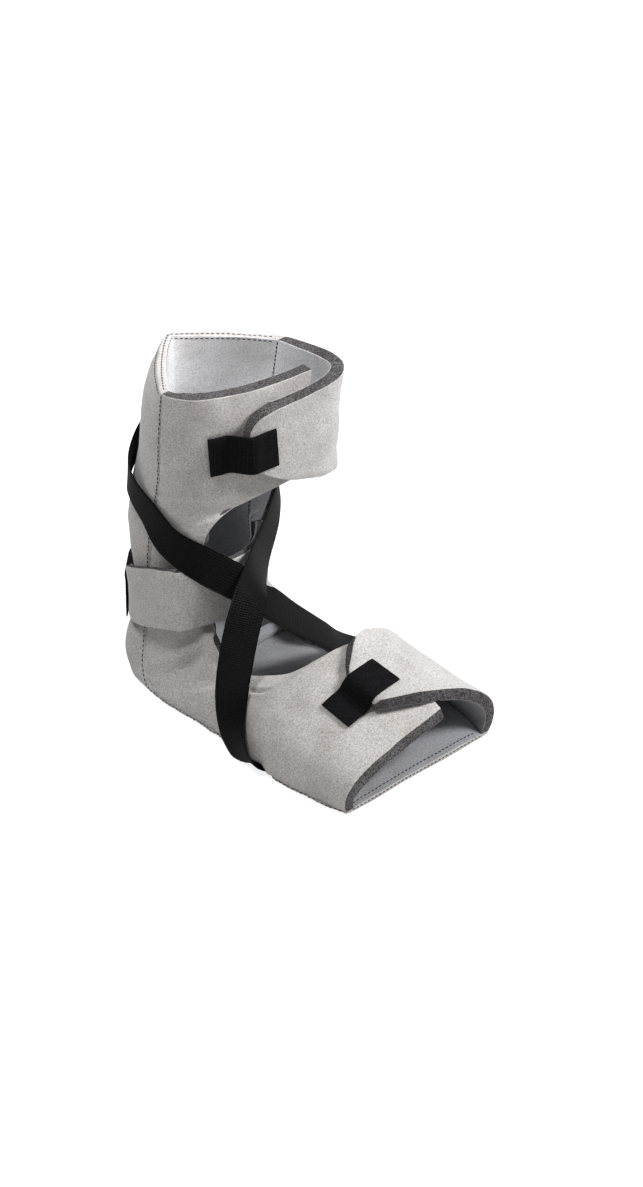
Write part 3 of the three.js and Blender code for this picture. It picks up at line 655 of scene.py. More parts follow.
@dataclass
class FoamPiece:
    """A piece of foam laminate between two grids, with what presses on it."""

    name: str
    outer: Array
    inner: Array
    edge_radius: float = 0.5
    seams: tuple[bool, bool] = (True, False)
    least: float = 3.0
    outward: Array = field(init=False)

    def __post_init__(self) -> None:
        """Settle which way the outer face looks."""
        self.outward = away_from(self.outer, self.inner)

    def relieve(self, large: float, small: float, seed: int) -> None:
        """Give both faces the soft unevenness of cloth over foam, in waves of 38 and 12 mm.

        Args:
            large: Height of the long waves in millimetres.
            small: Height of the short ones.
            seed: Number that settles the waves.
        """
        for grid, way, shift in ((self.outer, 1.0, 0), (self.inner, -0.7, 3)):
            high = large * wander(grid, 38.0, seed + shift) + small * wander(grid, 12.0, seed + shift + 1)
            grid += self.outward * (way * high)[..., None]

    def pucker(self, height: float, pitch: float, reach: float, seed: int) -> None:
        """Small gathers that the thread draws beside the sewn seams.

        A sine along the seam, fading with the distance from it, and a shallow valley at the seam.
        """
        along = walked(self.outer, 0)
        across = walked(self.outer, 1)
        for column, sewn in zip((0, -1), self.seams):
            if not sewn:
                continue
            distance = np.abs(across - across[:, [column]])
            uneven = wander(self.outer[:, [column]], 24.0, seed)
            wave = height * np.sin(2 * math.pi * along / pitch + 1.5 * uneven) * np.exp(-distance / reach)
            valley = 1.1 * height * np.exp(-(distance / (0.5 * reach)) ** 2)
            self.outer += self.outward * (wave - valley)[..., None]

    def crease(self, start: tuple[float, float, float], end: tuple[float, float, float],
               depth: float, width: float, bend: float = 0.0) -> None:
        """Press one fold in between two places, with a low ridge on either side.

        The depth is a bell across the fold, with a wider, lower bell taken off it, and fades out
        towards both ends as a half sine. The fold bows sideways by `bend`.

        Args:
            start: One end, across, forward and up in millimetres.
            end: The other end.
            depth: Depth of the valley in millimetres, or a ridge where negative.
            width: Half width of the valley.
            bend: How far the fold bows, in millimetres.
        """
        first, last = np.array(start), np.array(end)
        run = last - first
        size = np.linalg.norm(run)
        run = run / size
        offset = self.outer - first
        t = np.clip((offset @ run) / size, 0, 1)
        bow = unit(np.cross(self.outward, run)) * (bend * np.sin(math.pi * t))[..., None]
        apart = offset - t[..., None] * run * size - bow
        high = (apart * self.outward).sum(-1, keepdims=True)
        distance = np.linalg.norm(apart - high * self.outward, axis=-1)
        distance = distance + np.clip(np.abs(high[..., 0]) - 9, 0, None)
        ridge_share, ridge_spread, gain = 0.42, 2.3, 1.6
        profile = np.exp(-(distance / width) ** 2)
        profile -= ridge_share * np.exp(-(distance / (ridge_spread * width)) ** 2)
        fade = np.sin(math.pi * np.clip(t, 0.02, 0.98)) ** 0.7
        self.outer -= self.outward * (depth * gain * profile * fade)[..., None]

    def pressed_by(self, *strips: Strip) -> None:
        """Sink the outer face under strips, and the inner one where too little foam would be left."""
        for strip in strips:
            depth = strip.press(self.outer, self.outward, SIZE.clearance)
            depth = np.maximum(depth, 0.9 * blurred(depth, 6))
            thick = np.linalg.norm(self.outer - self.inner, axis=-1)
            self.outer -= self.outward * depth[..., None]
            self.inner -= self.outward * np.clip(depth - (thick - self.least), 0, None)[..., None]

    def rest_on(self, below: FoamPiece, least: float) -> None:
        """Keep the inner face clear of the piece below, and lift the outer face where it must.

        Each inner point is measured from the nearest point of the outer face below, along the normal
        there, and raised to a clearance above it. That holds where it is near enough aside, not too deep
        under the face and looks the same way. The points are taken in chunks, to save memory.
        """
        targets = below.outer[::2, ::2].reshape(-1, 3)
        ways = below.outward[::2, ::2].reshape(-1, 3)
        flat, own = self.inner.reshape(-1, 3), self.outward.reshape(-1, 3)
        lift = np.zeros(len(flat))
        chunk, near, deepest, least_facing = 1500, 3.5, -16, 0.35
        for first in range(0, len(flat), chunk):
            part = flat[first:first + chunk]
            square = (part ** 2).sum(1)[:, None] - 2 * part @ targets.T + (targets ** 2).sum(1)[None]
            k = square.argmin(axis=1)
            offset = part - targets[k]
            high = (offset * ways[k]).sum(-1)
            aside = np.linalg.norm(offset - ways[k] * high[:, None], axis=-1)
            facing = (own[first:first + chunk] * ways[k]).sum(-1)
            held = (aside < near) & (high > deepest) & (facing > least_facing)
            raised = np.clip((SIZE.clearance - high) / np.maximum(facing, least_facing), 0, None)
            lift[first:first + chunk] = np.where(held, raised, 0)
        lift = lift.reshape(self.outer.shape[:2])
        lift = np.maximum(lift, blurred(lift, 8))
        thick = np.linalg.norm(self.outer - self.inner, axis=-1)
        self.inner += self.outward * lift[..., None]
        self.outer += self.outward * blurred(np.clip(lift - (thick - least), 0, None), 4)[..., None]

    def round_edges(self) -> None:
        """Draw both faces together in a quarter round next to the rim, the hem and the free edge."""
        across, along = walked(self.outer, 1), walked(self.outer, 0)
        nearest = np.minimum.reduce([across, across[:, -1:] - across, along, along[-1:] - along])
        sunk = eased(nearest, self.edge_radius)[..., None]
        thick = unit(self.outer - self.inner)
        self.outer -= thick * sunk
        self.inner += thick * sunk


def settle(piece: bpy.types.Object, node: str = "") -> None:
    """Let a finished piece ride on the root.

    Args:
        piece: The piece.
        node: The CAD node that it stands for, if any.
    """
    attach(piece, "root")
    if node:
        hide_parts(node)
    log.info("%s: %d faces", piece.name, len(piece.data.polygons))


def strip_solid(name: str, strip: Strip, grids: tuple[Array, Array, Array],
                material: bpy.types.Material) -> bpy.types.Object:
    """A strip's grids as a closed solid, with its place along and across the cloth."""
    outer, inner, reach = grids
    along = np.broadcast_to(strip.length()[:, None], reach.shape)
    shell = Shell(name, outer, inner, loop=strip.loop, layers=1, rim_face=Face.OUTSIDE,
                  seam_face=Face.OUTSIDE, lining=Face.OUTSIDE)
    return shell.build([material], np.stack([along, reach], -1) * MM)


@dataclass
class Stitching:
    """Rows of thread: each stitch is a bead drawn out along the seam and half sunk in the cloth."""

    name: str
    pitch: float = 3.6
    length: float = 2.5
    width: float = 1.0
    proud: float = 0.08
    rows: list[tuple[Array, Array]] = field(default_factory=list)

    def follow(self, path: Array, outward: Array) -> None:
        """Add a row along a path of points, with the cloth's normals there."""
        self.rows.append((path, outward))

    def build(self, material: bpy.types.Material) -> bpy.types.Object:
        """Make all the stitches one mesh.

        A stitch is a ball of five rings by six, its length along the row, closed by two poles.
        """
        ring = np.linspace(0, math.pi, 7)[1:-1]
        turn = np.linspace(0, 2 * math.pi, 6, endpoint=False)
        body = np.stack(np.broadcast_arrays(np.cos(ring)[:, None], np.sin(ring)[:, None] * np.cos(turn),
                                            np.sin(ring)[:, None] * np.sin(turn)), -1).reshape(-1, 3)
        ball = np.vstack([body, [[1, 0, 0], [-1, 0, 0]]])
        faces: list[tuple[int, ...]] = []
        for i in range(4):
            faces += [(i * 6 + j, i * 6 + (j + 1) % 6, (i + 1) * 6 + (j + 1) % 6, (i + 1) * 6 + j)
                      for j in range(6)]
        faces += [(30, (j + 1) % 6, j) for j in range(6)]
        faces += [(31, 24 + j, 24 + (j + 1) % 6) for j in range(6)]
        points, polygons, count = [], [], 0
        for path, outward in self.rows:
            walk = np.concatenate([[0], np.cumsum(np.linalg.norm(np.diff(path, axis=0), axis=1))])
            middles = np.arange(self.pitch, walk[-1] - self.pitch, self.pitch)
            here = np.stack([np.interp(middles, walk, path[:, k]) for k in range(3)], 1)
            up = unit(np.stack([np.interp(middles, walk, outward[:, k]) for k in range(3)], 1))
            run = unit(np.stack([np.interp(middles, walk, np.gradient(path[:, k])) for k in range(3)], 1))
            aside = unit(np.cross(up, run))
            size = np.array([self.length, self.width, 0.7 * self.width]) / 2
            local = ball * size
            stitch = (here[:, None] + local[None, :, :1] * run[:, None]
                      + local[None, :, 1:2] * aside[:, None] + (local[None, :, 2:] + self.proud) * up[:, None])
            points.append(stitch.reshape(-1, 3))
            for number in range(len(middles)):
                polygons += [tuple(corner + count for corner in one) for one in faces]
                count += len(ball)
        mesh = bpy.data.meshes.new(self.name)
        mesh.from_pydata(to_frame(np.vstack(points)).tolist(), [], [one[::-1] for one in polygons])
        mesh.polygons.foreach_set("use_smooth", np.ones(len(mesh.polygons), bool))
        mesh.materials.append(material)
        piece = bpy.data.objects.new(self.name, mesh)
        bpy.context.collection.objects.link(piece)
        return piece


@dataclass(frozen=True)
class SpinePanel:
    """The double panel: calf back, heel and sole in one, sewn flat at the rim and the toe hem.

    Attributes:
        name: Name of the piece.
        node: The CAD node that it stands for.
        columns: Number of points from seam to seam.
        stitch_column_mm: How far the rows of thread lie from the seams.
        hem_row_mm: How far the rows of thread lie from the rim and the toe hem.
    """

    name: str = "spine_panel_cloth"
    node: str = "spine_panel"
    columns: int = 101
    stitch_column_mm: float = 2.2
    hem_row_mm: float = 3.0

    def cut(self) -> FoamPiece:
        """Lay out both faces.

        At each station a superellipse runs from seam to seam through the middle line: across is the
        sine's power, and the lift towards the seams is one less the cosine's power. The inner face
        is the same with its own roundness, drawn in by the pad.
        """
        seam_at, spine_at = SEAM.read(AT), SPINE.read(AT)
        turn = np.linspace(-1, 1, self.columns) * math.pi / 2
        spread, fall = np.abs(np.sin(turn))[None], np.clip(np.cos(turn), 0, None)[None]
        side = np.sign(turn)[None]
        seam = place(0, seam_at["forward"], seam_at["up"])
        middle = place(0, spine_at["forward"], spine_at["up"])
        depth = np.linalg.norm(seam - middle, axis=-1)[:, None]
        inward = unit(seam - middle)[:, None]
        wide = (seam_at["across"] * SIZE.half_width)[:, None]
        thick = (SIZE.hem + (SIZE.pad - SIZE.hem) * spine_at["fill"])[:, None]
        rounding, inside = spine_at["round"][:, None], spine_at["inside"][:, None]
        flat = spine_at["flat"][:, None]
        rim = depth - SIZE.seam_gap / 2
        lifted = np.clip((1 - fall ** (2 / rounding) - flat) / (1 - flat), 0, None)
        bend = 1 - fall ** (2 / inside)
        right = np.array([1.0, 0, 0])
        outer = (middle[:, None] + inward * (lifted * rim)[..., None]
                 + right * (side * wide * spread ** (2 / rounding))[..., None])
        inner = (middle[:, None] + inward * (thick + (rim - thick) * bend)[..., None]
                 + right * (side * (wide - SIZE.foam) * spread ** (2 / inside))[..., None])
        return FoamPiece(self.name, outer, inner, seams=(True, True))

    def dress(self, piece: FoamPiece, laminate: list[bpy.types.Material]) -> None:
        """Round the hems and make the mesh, with cloth over every edge."""
        piece.round_edges()
        shell = Shell(self.name, piece.outer, piece.inner, rim_face=Face.OUTSIDE, seam_face=Face.OUTSIDE)
        settle(shell.build(laminate), self.node)

    def sew(self, piece: FoamPiece, thread: bpy.types.Material) -> None:
        """The rows of thread along the seams, the rim and the toe hem."""
        stitches = Stitching("sewn_stitches")
        walk = walked(piece.outer, 0).mean(axis=1)
        seam = int(np.abs(walked(piece.outer, 1)[100] - self.stitch_column_mm).argmin())
        stitches.follow(piece.outer[:, seam], piece.outward[:, seam])
        for column in (piece.inner.shape[1] - 1 - seam, seam):
            stitches.follow(piece.inner[:, column], -piece.outward[:, column])
        within = slice(4, -4)
        for row, way in ((0, (0.0, 0.0, 1.0)), (-1, (0.0, 1.0, 0.0))):
            path = ((piece.outer[row] + piece.inner[row]) / 2)[within]
            stitches.follow(path, np.tile(np.array(way), (len(path), 1)))
        for distance in (walk, walk[-1] - walk):
            row = int(np.abs(distance - self.hem_row_mm).argmin())
            stitches.follow(piece.outer[row, within], piece.outward[row, within])
            stitches.follow(piece.inner[row, within], -piece.outward[row, within])
        settle(stitches.build(thread))


@dataclass(frozen=True)
class Wing:
    """A wing of foam laminate sewn to one seam.

    Attributes:
        name: Name of the piece.
        node: The CAD node that it stands for.
        rows: Table of its ribs.
        side: The seam that it is sewn to.
        toe_lean: How far the cut at the toe leans over, so that its foam shows from above.
        bulge: How far the cut foam stands proud, in millimetres.
    """

    name: str
    node: str
    rows: Table
    side: Side
    toe_lean: float = 1.7
    bulge: float = 0.25

    def cut(self) -> FoamPiece:
        """Lay out both faces, not yet pressed by anything.

        Each rib is a cubic from the seam by its rise and draw points to its free edge. The inner
        face lies a foam layer further in, straight across next to the seam and along the normal
        elsewhere, and the foam is a little thicker than that away from the thread. Both faces are
        worked out at the ribs and drawn smoothly from rib to rib.
        """
        side = self.side.value
        rib, seam_at, spine_at = self.rows.read(RIB_AT), SEAM.read(RIB_AT), SPINE.read(RIB_AT)
        seam = place(side * seam_at["across"], seam_at["forward"], seam_at["up"])
        leaving = unit(place(0, seam_at["forward"] - spine_at["forward"], seam_at["up"] - spine_at["up"]))
        start = seam + leaving * SIZE.seam_gap / 2
        turn = np.clip(RIB_AT - 1, 0, 1)[:, None]
        lap_way = np.array([0, 1.0, 0]) * (1 - turn) + np.array([0, 0, 1.0]) * turn
        rise = place(rib["rise_across"], rib["rise_forward"], rib["rise_up"])
        draw = place(rib["draw_across"], rib["draw_forward"], rib["draw_up"])
        edge = place(rib["edge_across"], rib["edge_forward"], rib["edge_up"])
        draw = draw + lap_way * (rib["draw_lap"] * SIZE.layer)[:, None]
        edge = edge + lap_way * (rib["edge_lap"] * SIZE.layer)[:, None]
        t = RIB_STEPS[None, :, None]
        outer = ((1 - t) ** 3 * start[:, None] + 3 * t * (1 - t) ** 2 * rise[:, None]
                 + 3 * t * t * (1 - t) * draw[:, None] + t ** 3 * edge[:, None])
        along = np.concatenate([outer[1:2] - outer[:1], outer[2:] - outer[:-2], outer[-1:] - outer[-2:-1]])
        normals = unit(np.cross(np.gradient(outer, axis=1), along)) * -side
        sideways = np.array([float(side), 0, 0])
        settled = np.clip(np.linalg.norm(outer - outer[:, :1], axis=-1) / (2 * SIZE.foam), 0, 1)[..., None]
        outward = unit(sideways * (1 - settled) + normals * settled)
        outward[..., 1] *= 1 - self.toe_lean * eased_in(RIB_AT, 2.75, 3.0)[:, None]
        outward = unit(outward)
        inner = outer - outward * (SIZE.foam + SIZE.swell * settled)
        piece = FoamPiece(self.name, monotone(RIB_AT, outer, AT), monotone(RIB_AT, inner, AT))
        piece.outward = unit(monotone(RIB_AT, outward, AT))
        return piece

    def dress(self, piece: FoamPiece, laminate: list[bpy.types.Material]) -> None:
        """Round the edges and make the mesh, with bare foam where it is cut."""
        piece.round_edges()
        shell = Shell(self.name, piece.outer, piece.inner, bulge=self.bulge, seam_face=Face.OUTSIDE)
        settle(shell.build(laminate), self.node)


@dataclass(frozen=True)
class AnkleBand:
    """The band across the ankle, narrower towards its free end, whose corners are rounded.

    Attributes:
        name: Name of the piece.
        node: The CAD node that it stands for.
        places: Number of places along it.
        columns: Number of points across it.
        tip_share: Share of the width that is left at the free end before its corners.
        taper_from: Share of the length over which it narrows.
        corner_from: Share of the length over which its corners round off.
    """

    name: str = "ankle_band_cloth"
    node: str = "ankle_band"
    places: int = 261
    columns: int = 45
    tip_share: float = 0.84
    taper_from: float = 0.3
    corner_from: float = 0.07

    def strip(self) -> Strip:
        """Its middle line."""
        at = np.linspace(0, 1, self.places)
        row = BAND.read(at)
        round_end = np.clip((1 - at) / self.corner_from, 0, 1)
        narrowed = np.clip((1 - at) / self.taper_from, 0, 1)
        share = self.tip_share + (1 - self.tip_share) * narrowed
        share = share * (0.55 + 0.45 * np.sqrt(1 - (1 - round_end) ** 2))
        return Strip(place(row["across"], row["forward"], row["up"]), looks(row["facing"], row["tilt"]),
                     SIZE.band_width, SIZE.band_foam, share)

    def dress(self, band: Strip, laminate: list[bpy.types.Material], *pressing: Strip) -> None:
        """Make the mesh, sunk under what presses on it."""
        outer, inner, _ = band.grids(self.columns, soft=1.2)
        piece = FoamPiece(self.name, outer, inner, seams=(False, False), least=2.5)
        piece.relieve(large=0.3, small=0.1, seed=50)
        piece.pressed_by(*pressing)
        item = Shell(self.name, piece.outer, piece.inner, bulge=0.2).build(laminate)
        settle(item, self.node)


@dataclass(frozen=True)
class CrossStrap:
    """The webbing, one closed loop through its route.

    Attributes:
        name: Name of the piece.
        node: The CAD node that it stands for.
        places: Number of places along it.
        columns: Number of points across it.
        upper_run: Rows of the route between which it lies on top of itself.
        lower_run: Rows of the route between which it lies underneath.
        floor_gap: How far it is kept above the floor, in millimetres.
        inner_gap: How far its inner face is kept above the floor where the outer one lies on it.
    """

    name: str = "cross_strap_webbing"
    node: str = "cross_strap"
    places: int = 760
    columns: int = 13
    upper_run: tuple[float, float] = (19.2, 22.2)
    lower_run: tuple[float, float] = (4.6, 8.4)
    floor_gap: float = 0.3
    inner_gap: float = 1.5

    def strip(self) -> Strip:
        """Its middle line."""
        middle = catmull(place(*(WEB.column(k) for k in ("across", "forward", "up"))), self.places, True)
        face = catmull(looks(WEB.column("facing"), WEB.column("tilt")), self.places, True)
        return Strip(middle, unit(face), SIZE.web_width, SIZE.web_thickness, np.ones(self.places),
                     loop=True)

    def cross(self, web: Strip, outer: Array, inner: Array) -> None:
        """Sink the lower run where the upper one crosses it in front of the ankle."""
        steps = len(web.middle) / len(WEB.values)
        above, below = (slice(int(a * steps), int(b * steps)) for a, b in (self.upper_run, self.lower_run))
        upper = Strip(web.middle[above], web.face[above], web.width, web.thickness, web.share[above])
        ways = np.broadcast_to(web.face[below][:, None], outer[below].shape)
        depth = upper.press(outer[below], ways, gap=0.4, reach=7.0)
        depth = np.maximum(depth, blurred(depth, 25))[..., None]
        outer[below] -= ways * depth
        inner[below] -= ways * depth

    def dress(self, web: Strip, material: bpy.types.Material) -> None:
        """Make the mesh, kept above the floor where the strap turns under the sole."""
        outer, inner, reach = web.grids(self.columns, soft=0.5)
        self.cross(web, outer, inner)
        outer[..., 2] = np.maximum(outer[..., 2], self.floor_gap)
        on_floor = outer[..., 2] < self.floor_gap + 0.01
        inner[..., 2] = np.maximum(inner[..., 2], np.where(on_floor, self.inner_gap, self.floor_gap))
        settle(strip_solid(self.name, web, (outer, inner, reach), material), self.node)


def tape_strip(places: Array, faces: Array, width: float) -> Strip:
    """A hook tape over a few places that it lies on.

    It runs straight from the first to the last as seen from above, and its height over that line
    follows the places smoothly.
    """
    count = 81
    way = unit(faces.mean(axis=0))
    offset = places - places[0]
    run = unit(offset[-1] - way * (offset[-1] @ way))
    line = catmull(np.stack([offset @ run, offset @ way], 1), count, False)
    middle = places[0] + line[:, :1] * run + line[:, 1:] * way
    return Strip(middle, unit(catmull(faces, count, False)), width, SIZE.tape_thickness, np.ones(count))


def on_piece(piece: FoamPiece, at: float, along: float, lift: float) -> tuple[Array, Array]:
    """A place on a wing's outer face by its station and share along the rib, and its normal."""
    i = int(np.abs(AT - at).argmin())
    walk = walked(piece.outer, 1)[i]
    j = int(np.abs(np.linspace(0, 1, len(walk)) - along).argmin())
    return piece.outer[i, j] + piece.outward[i, j] * lift, piece.outward[i, j]


@dataclass(frozen=True)
class Tape:
    """A piece of hook tape.

    Attributes:
        name: Name of the piece.
        node: The CAD node that it stands for.
        width: Its width in millimetres.
    """

    name: str
    node: str
    width: float

    def dress(self, strip: Strip, material: bpy.types.Material) -> None:
        """Make the mesh."""
        item = strip_solid(self.name, strip, strip.grids(columns=9, soft=0.25), material)
        settle(item, self.node)


@dataclass(frozen=True)
class FlapTape(Tape):
    """The tape of a flap: it lies on the wing below and steps up onto the flap's end.

    Attributes:
        station: Its place down the seam.
        below: Shares along the under wing's rib that it lies on.
        above: Shares along the over wing's rib that it lies on.
    """

    station: float
    below: tuple[float, ...]
    above: tuple[float, ...]

    def strip(self, under: FoamPiece, over: FoamPiece) -> Strip:
        """Its middle line over both wings."""
        lift = 2 * SIZE.clearance + SIZE.tape_thickness / 2
        found = [on_piece(under, self.station, k, lift) for k in self.below]
        found += [on_piece(over, self.station, k, lift) for k in self.above]
        return tape_strip(np.array([p for p, _ in found]), np.array([n for _, n in found]), self.width)


@dataclass(frozen=True)
class AnkleTape(Tape):
    """The tape on the band's end: up its outer face, and over its upper edge onto the panel.

    Attributes:
        station: Its place along the band.
        drop: How far the panel lies behind the band's inner face, in millimetres.
    """

    station: float = 0.955
    drop: float = 1.6

    def strip(self) -> Strip:
        """Its middle line, as places up and out from the band's own."""
        row = BAND.read(np.array([self.station]))
        face = looks(row["facing"], row["tilt"])[0]
        middle = place(row["across"], row["forward"], row["up"])[0]
        lift = 2 * SIZE.clearance + SIZE.tape_thickness / 2
        outside = SIZE.band_foam / 2 + lift
        on_panel = lift - SIZE.band_foam / 2 - self.drop
        steps = [(-25, outside), (-9, outside), (6, outside), (15, outside), (22, on_panel)]
        places = np.array([middle + face * out + np.array([0, 0, float(up)]) for up, out in steps])
        return tape_strip(places, np.tile(face, (len(steps), 1)), self.width)


def linear(code: str) -> tuple[float, float, float, float]:
    """An sRGB hex value as linear red, green, blue and alpha."""
    values = [int(code[k:k + 2], 16) / 255 for k in (1, 3, 5)]
    return (*(v / 12.92 if v <= 0.04045 else ((v + 0.055) / 1.055) ** 2.4 for v in values), 1.0)


class Shader:
    """The node tree of one material."""

    def __init__(self, name: str) -> None:
        """Start a material with an output and a plain surface."""
        self.material = bpy.data.materials.new(name)
        self.material.use_nodes = True
        self.tree = self.material.node_tree
        self.tree.nodes.clear()
        self.surface = self.add("ShaderNodeBsdfPrincipled")
        self.add("ShaderNodeOutputMaterial", None, {"Surface": self.surface.outputs["BSDF"]})

    def add(self, kind: str, settings: dict[str, object] | None = None,
            links: dict[str | int, object] | None = None) -> bpy.types.Node:
        """Add a node.

        Args:
            kind: Its type.
            settings: Attributes to set on it.
            links: By input, a socket to link to it or a value to set.

        Returns:
            The node.
        """
        node = self.tree.nodes.new(kind)
        for key, value in (settings or {}).items():
            setattr(node, key, value)
        for key, value in (links or {}).items():
            if isinstance(value, bpy.types.NodeSocket):
                self.tree.links.new(value, node.inputs[key])
            else:
                node.inputs[key].default_value = value
        return node

    def noise(self, size_mm: float, detail: float = 2.0, rough: float = 0.5) -> bpy.types.NodeSocket:
        """Noise on object coordinates, with features about `size_mm` across."""
        where = self.add("ShaderNodeTexCoord").outputs["Object"]
        return self.add("ShaderNodeTexNoise", None, {
            "Vector": where, "Scale": 1000 / size_mm, "Detail": detail, "Roughness": rough}).outputs["Fac"]

    def ramp(self, value: bpy.types.NodeSocket, stops: list[tuple[float, str]]) -> bpy.types.NodeSocket:
        """Colours for a value, as places and sRGB hex values."""
        node = self.add("ShaderNodeValToRGB", None, {"Fac": value})
        while len(node.color_ramp.elements) < len(stops):
            node.color_ramp.elements.new(0.5)
        for element, (at, code) in zip(node.color_ramp.elements, stops):
            element.position = at
            element.color = linear(code)
        return node.outputs["Color"]

    def times(self, first: bpy.types.NodeSocket, second: bpy.types.NodeSocket, share: float = 1.0
              ) -> bpy.types.NodeSocket:
        """One colour multiplied by another."""
        node = self.add("ShaderNodeMix", {"data_type": "RGBA", "blend_type": "MULTIPLY"},
                        {0: share, 6: first, 7: second})
        return node.outputs[2]

    def finish(self, colour: bpy.types.NodeSocket, bumps: list[tuple[bpy.types.NodeSocket, float]],
               values: dict[str, object]) -> bpy.types.Material:
        """Link the colour and the bumps, whose depths are in millimetres, and set plain values."""
        self.tree.links.new(colour, self.surface.inputs["Base Color"])
        normal = None
        for height, depth in bumps:
            links = {"Height": height, "Strength": 1.0, "Distance": depth * MM}
            if normal is not None:
                links["Normal"] = normal
            normal = self.add("ShaderNodeBump", None, links).outputs["Normal"]
        if normal is not None:
            self.tree.links.new(normal, self.surface.inputs["Normal"])
        for name, value in values.items():
            self.surface.inputs[name].default_value = value
        return self.material


@dataclass(frozen=True)
class BrushedLoopCloth:
    """Brushed nylon loop cloth on foam: a dull, hairy face with grains of shade about 1 mm across.

    The hairs are finer than the picture shows, so their grain is drawn at 1.1 mm. Up to one height above
    the floor it is darkened by a painted shade colour, which fades out by a second height, both in metres.
    """

    name: str
    light: str
    mid: str
    dark: str
    grain_mm: float = 1.1
    mottle_mm: float = 26.0
    painted_shade: str = "#ffffff"
    painted_shade_to: float = 0.12
    painted_shade_clear_from: float = 0.2

    def build(self) -> bpy.types.Material:
        """Make the material."""
        shader = Shader(self.name)
        grain = shader.noise(self.grain_mm, 3.0, 0.65)
        colour = shader.ramp(grain, [(0.34, self.dark), (0.5, self.mid), (0.66, self.light)])
        mottle = shader.ramp(shader.noise(self.mottle_mm, 3.0, 0.55),
                             [(0.3, "#eeebe8"), (0.52, "#fbfaf9"), (0.72, "#ffffff")])
        wide = shader.ramp(shader.noise(90.0, 1.0), [(0.35, "#f3f1ef"), (0.65, "#ffffff")])
        colour = shader.times(shader.times(colour, mottle), wide)
        # Painted shade: the colour is darker low down, towards the floor.
        where = shader.add("ShaderNodeTexCoord").outputs["Object"]
        height = shader.add("ShaderNodeSeparateXYZ", None, {"Vector": where}).outputs["Z"]
        share = shader.add("ShaderNodeMapRange", None, {
            "Value": height, "From Min": self.painted_shade_to, "From Max": self.painted_shade_clear_from}).outputs["Result"]
        colour = shader.times(colour, shader.ramp(share, [(0.0, self.painted_shade), (1.0, "#ffffff")]))
        fuzz = shader.noise(0.8, 3.0, 0.7)
        lumps = shader.noise(5.5, 2.0)
        return shader.finish(colour, [(lumps, 0.22), (fuzz, 0.16)], {
            "Roughness": 0.95, "IOR": 1.45, "Sheen Weight": 0.35, "Sheen Roughness": 0.55,
            "Specular IOR Level": 0.2})


@dataclass(frozen=True)
class CutFoam:
    """Dark polyurethane foam where it is cut: open cells about 0.8 mm across, drawn at 1.2 mm, with painted
    shade in their hollows.
    """

    name: str
    pore_shade: str
    wall: str

    def build(self) -> bpy.types.Material:
        """Make the material."""
        shader = Shader(self.name)
        cells = shader.noise(1.2, 2.0, 0.6)
        # Painted shade: the cell noise is also the bump, so its hollows get the darker colour.
        colour = shader.ramp(cells, [(0.36, self.pore_shade), (0.62, self.wall)])
        colour = shader.times(colour, shader.ramp(shader.noise(14.0), [(0.3, "#d9d6d4"), (0.7, "#ffffff")]))
        return shader.finish(colour, [(cells, 0.35)], {
            "Roughness": 0.92, "IOR": 1.45, "Specular IOR Level": 0.2})


@dataclass(frozen=True)
class WovenWebbing:
    """Black polypropylene webbing, woven: weft ribs run across it 1.6 mm apart, crossed by warps.

    The ribs catch the light on their crowns, which are also painted lighter, with painted shade between them,
    and the selvedges are smooth.
    """

    name: str
    rib_mm: float = 1.6
    warp_mm: float = 2.1

    def build(self) -> bpy.types.Material:
        """Make the material from the place along and across the cloth."""
        shader = Shader(self.name)
        where = shader.add("ShaderNodeUVMap", {"uv_map": "cloth"}).outputs["UV"]
        parts = shader.add("ShaderNodeSeparateXYZ", None, {"Vector": where})

        def wave(place_along: bpy.types.NodeSocket, period_mm: float,
                 shift: bpy.types.NodeSocket | float) -> bpy.types.NodeSocket:
            """A sine from 0 to 1 with the period, moved by a shift."""
            turned = shader.add("ShaderNodeMath", {"operation": "MULTIPLY_ADD"}, {
                0: place_along, 1: 2000 * math.pi / period_mm, 2: shift})
            sine = shader.add("ShaderNodeMath", {"operation": "SINE"}, {0: turned.outputs[0]})
            return shader.add("ShaderNodeMath", {"operation": "MULTIPLY_ADD"}, {
                0: sine.outputs[0], 1: 0.5, 2: 0.5}).outputs[0]

        warp = wave(parts.outputs["Y"], self.warp_mm, 0.0)
        lean = shader.add("ShaderNodeMath", {"operation": "MULTIPLY"}, {0: warp, 1: 1.9}).outputs[0]
        rib = wave(parts.outputs["X"], self.rib_mm, lean)
        weave = shader.add("ShaderNodeMath", {"operation": "MULTIPLY_ADD"}, {
            0: rib, 1: 0.75, 2: shader.add("ShaderNodeMath", {"operation": "MULTIPLY"}, {
                0: warp, 1: 0.25}).outputs[0]}).outputs[0]
        # Painted highlight and shade: the weave that makes the bump also colours the crowns lighter and the
        # valleys darker.
        colour = shader.ramp(weave, [(0.25, "#010101"), (0.7, "#050505"), (1.0, "#161618")])
        colour = shader.times(colour, shader.ramp(shader.noise(7.0), [(0.3, "#b8b8b8"), (0.7, "#ffffff")]))
        return shader.finish(colour, [(weave, 0.5)], {
            "Roughness": 0.5, "IOR": 1.49, "Specular IOR Level": 0.13})


@dataclass(frozen=True)
class HookTape:
    """Black nylon hook tape: rows of small hooks, a dull face that swallows the light.

    The hooks stand about 1.3 mm apart, and are drawn at 1.6 mm.
    """

    name: str
    hook_mm: float = 1.6

    def build(self) -> bpy.types.Material:
        """Make the material."""
        shader = Shader(self.name)
        where = shader.add("ShaderNodeTexCoord").outputs["Object"]
        hooks = shader.add("ShaderNodeTexVoronoi", None, {
            "Vector": where, "Scale": 1000 / self.hook_mm, "Randomness": 0.45}).outputs["Distance"]
        colour = shader.ramp(hooks, [(0.1, "#1c1a1d"), (0.5, "#0a080a")])
        return shader.finish(colour, [(hooks, 0.2)], {
            "Roughness": 0.85, "IOR": 1.53, "Specular IOR Level": 0.12})


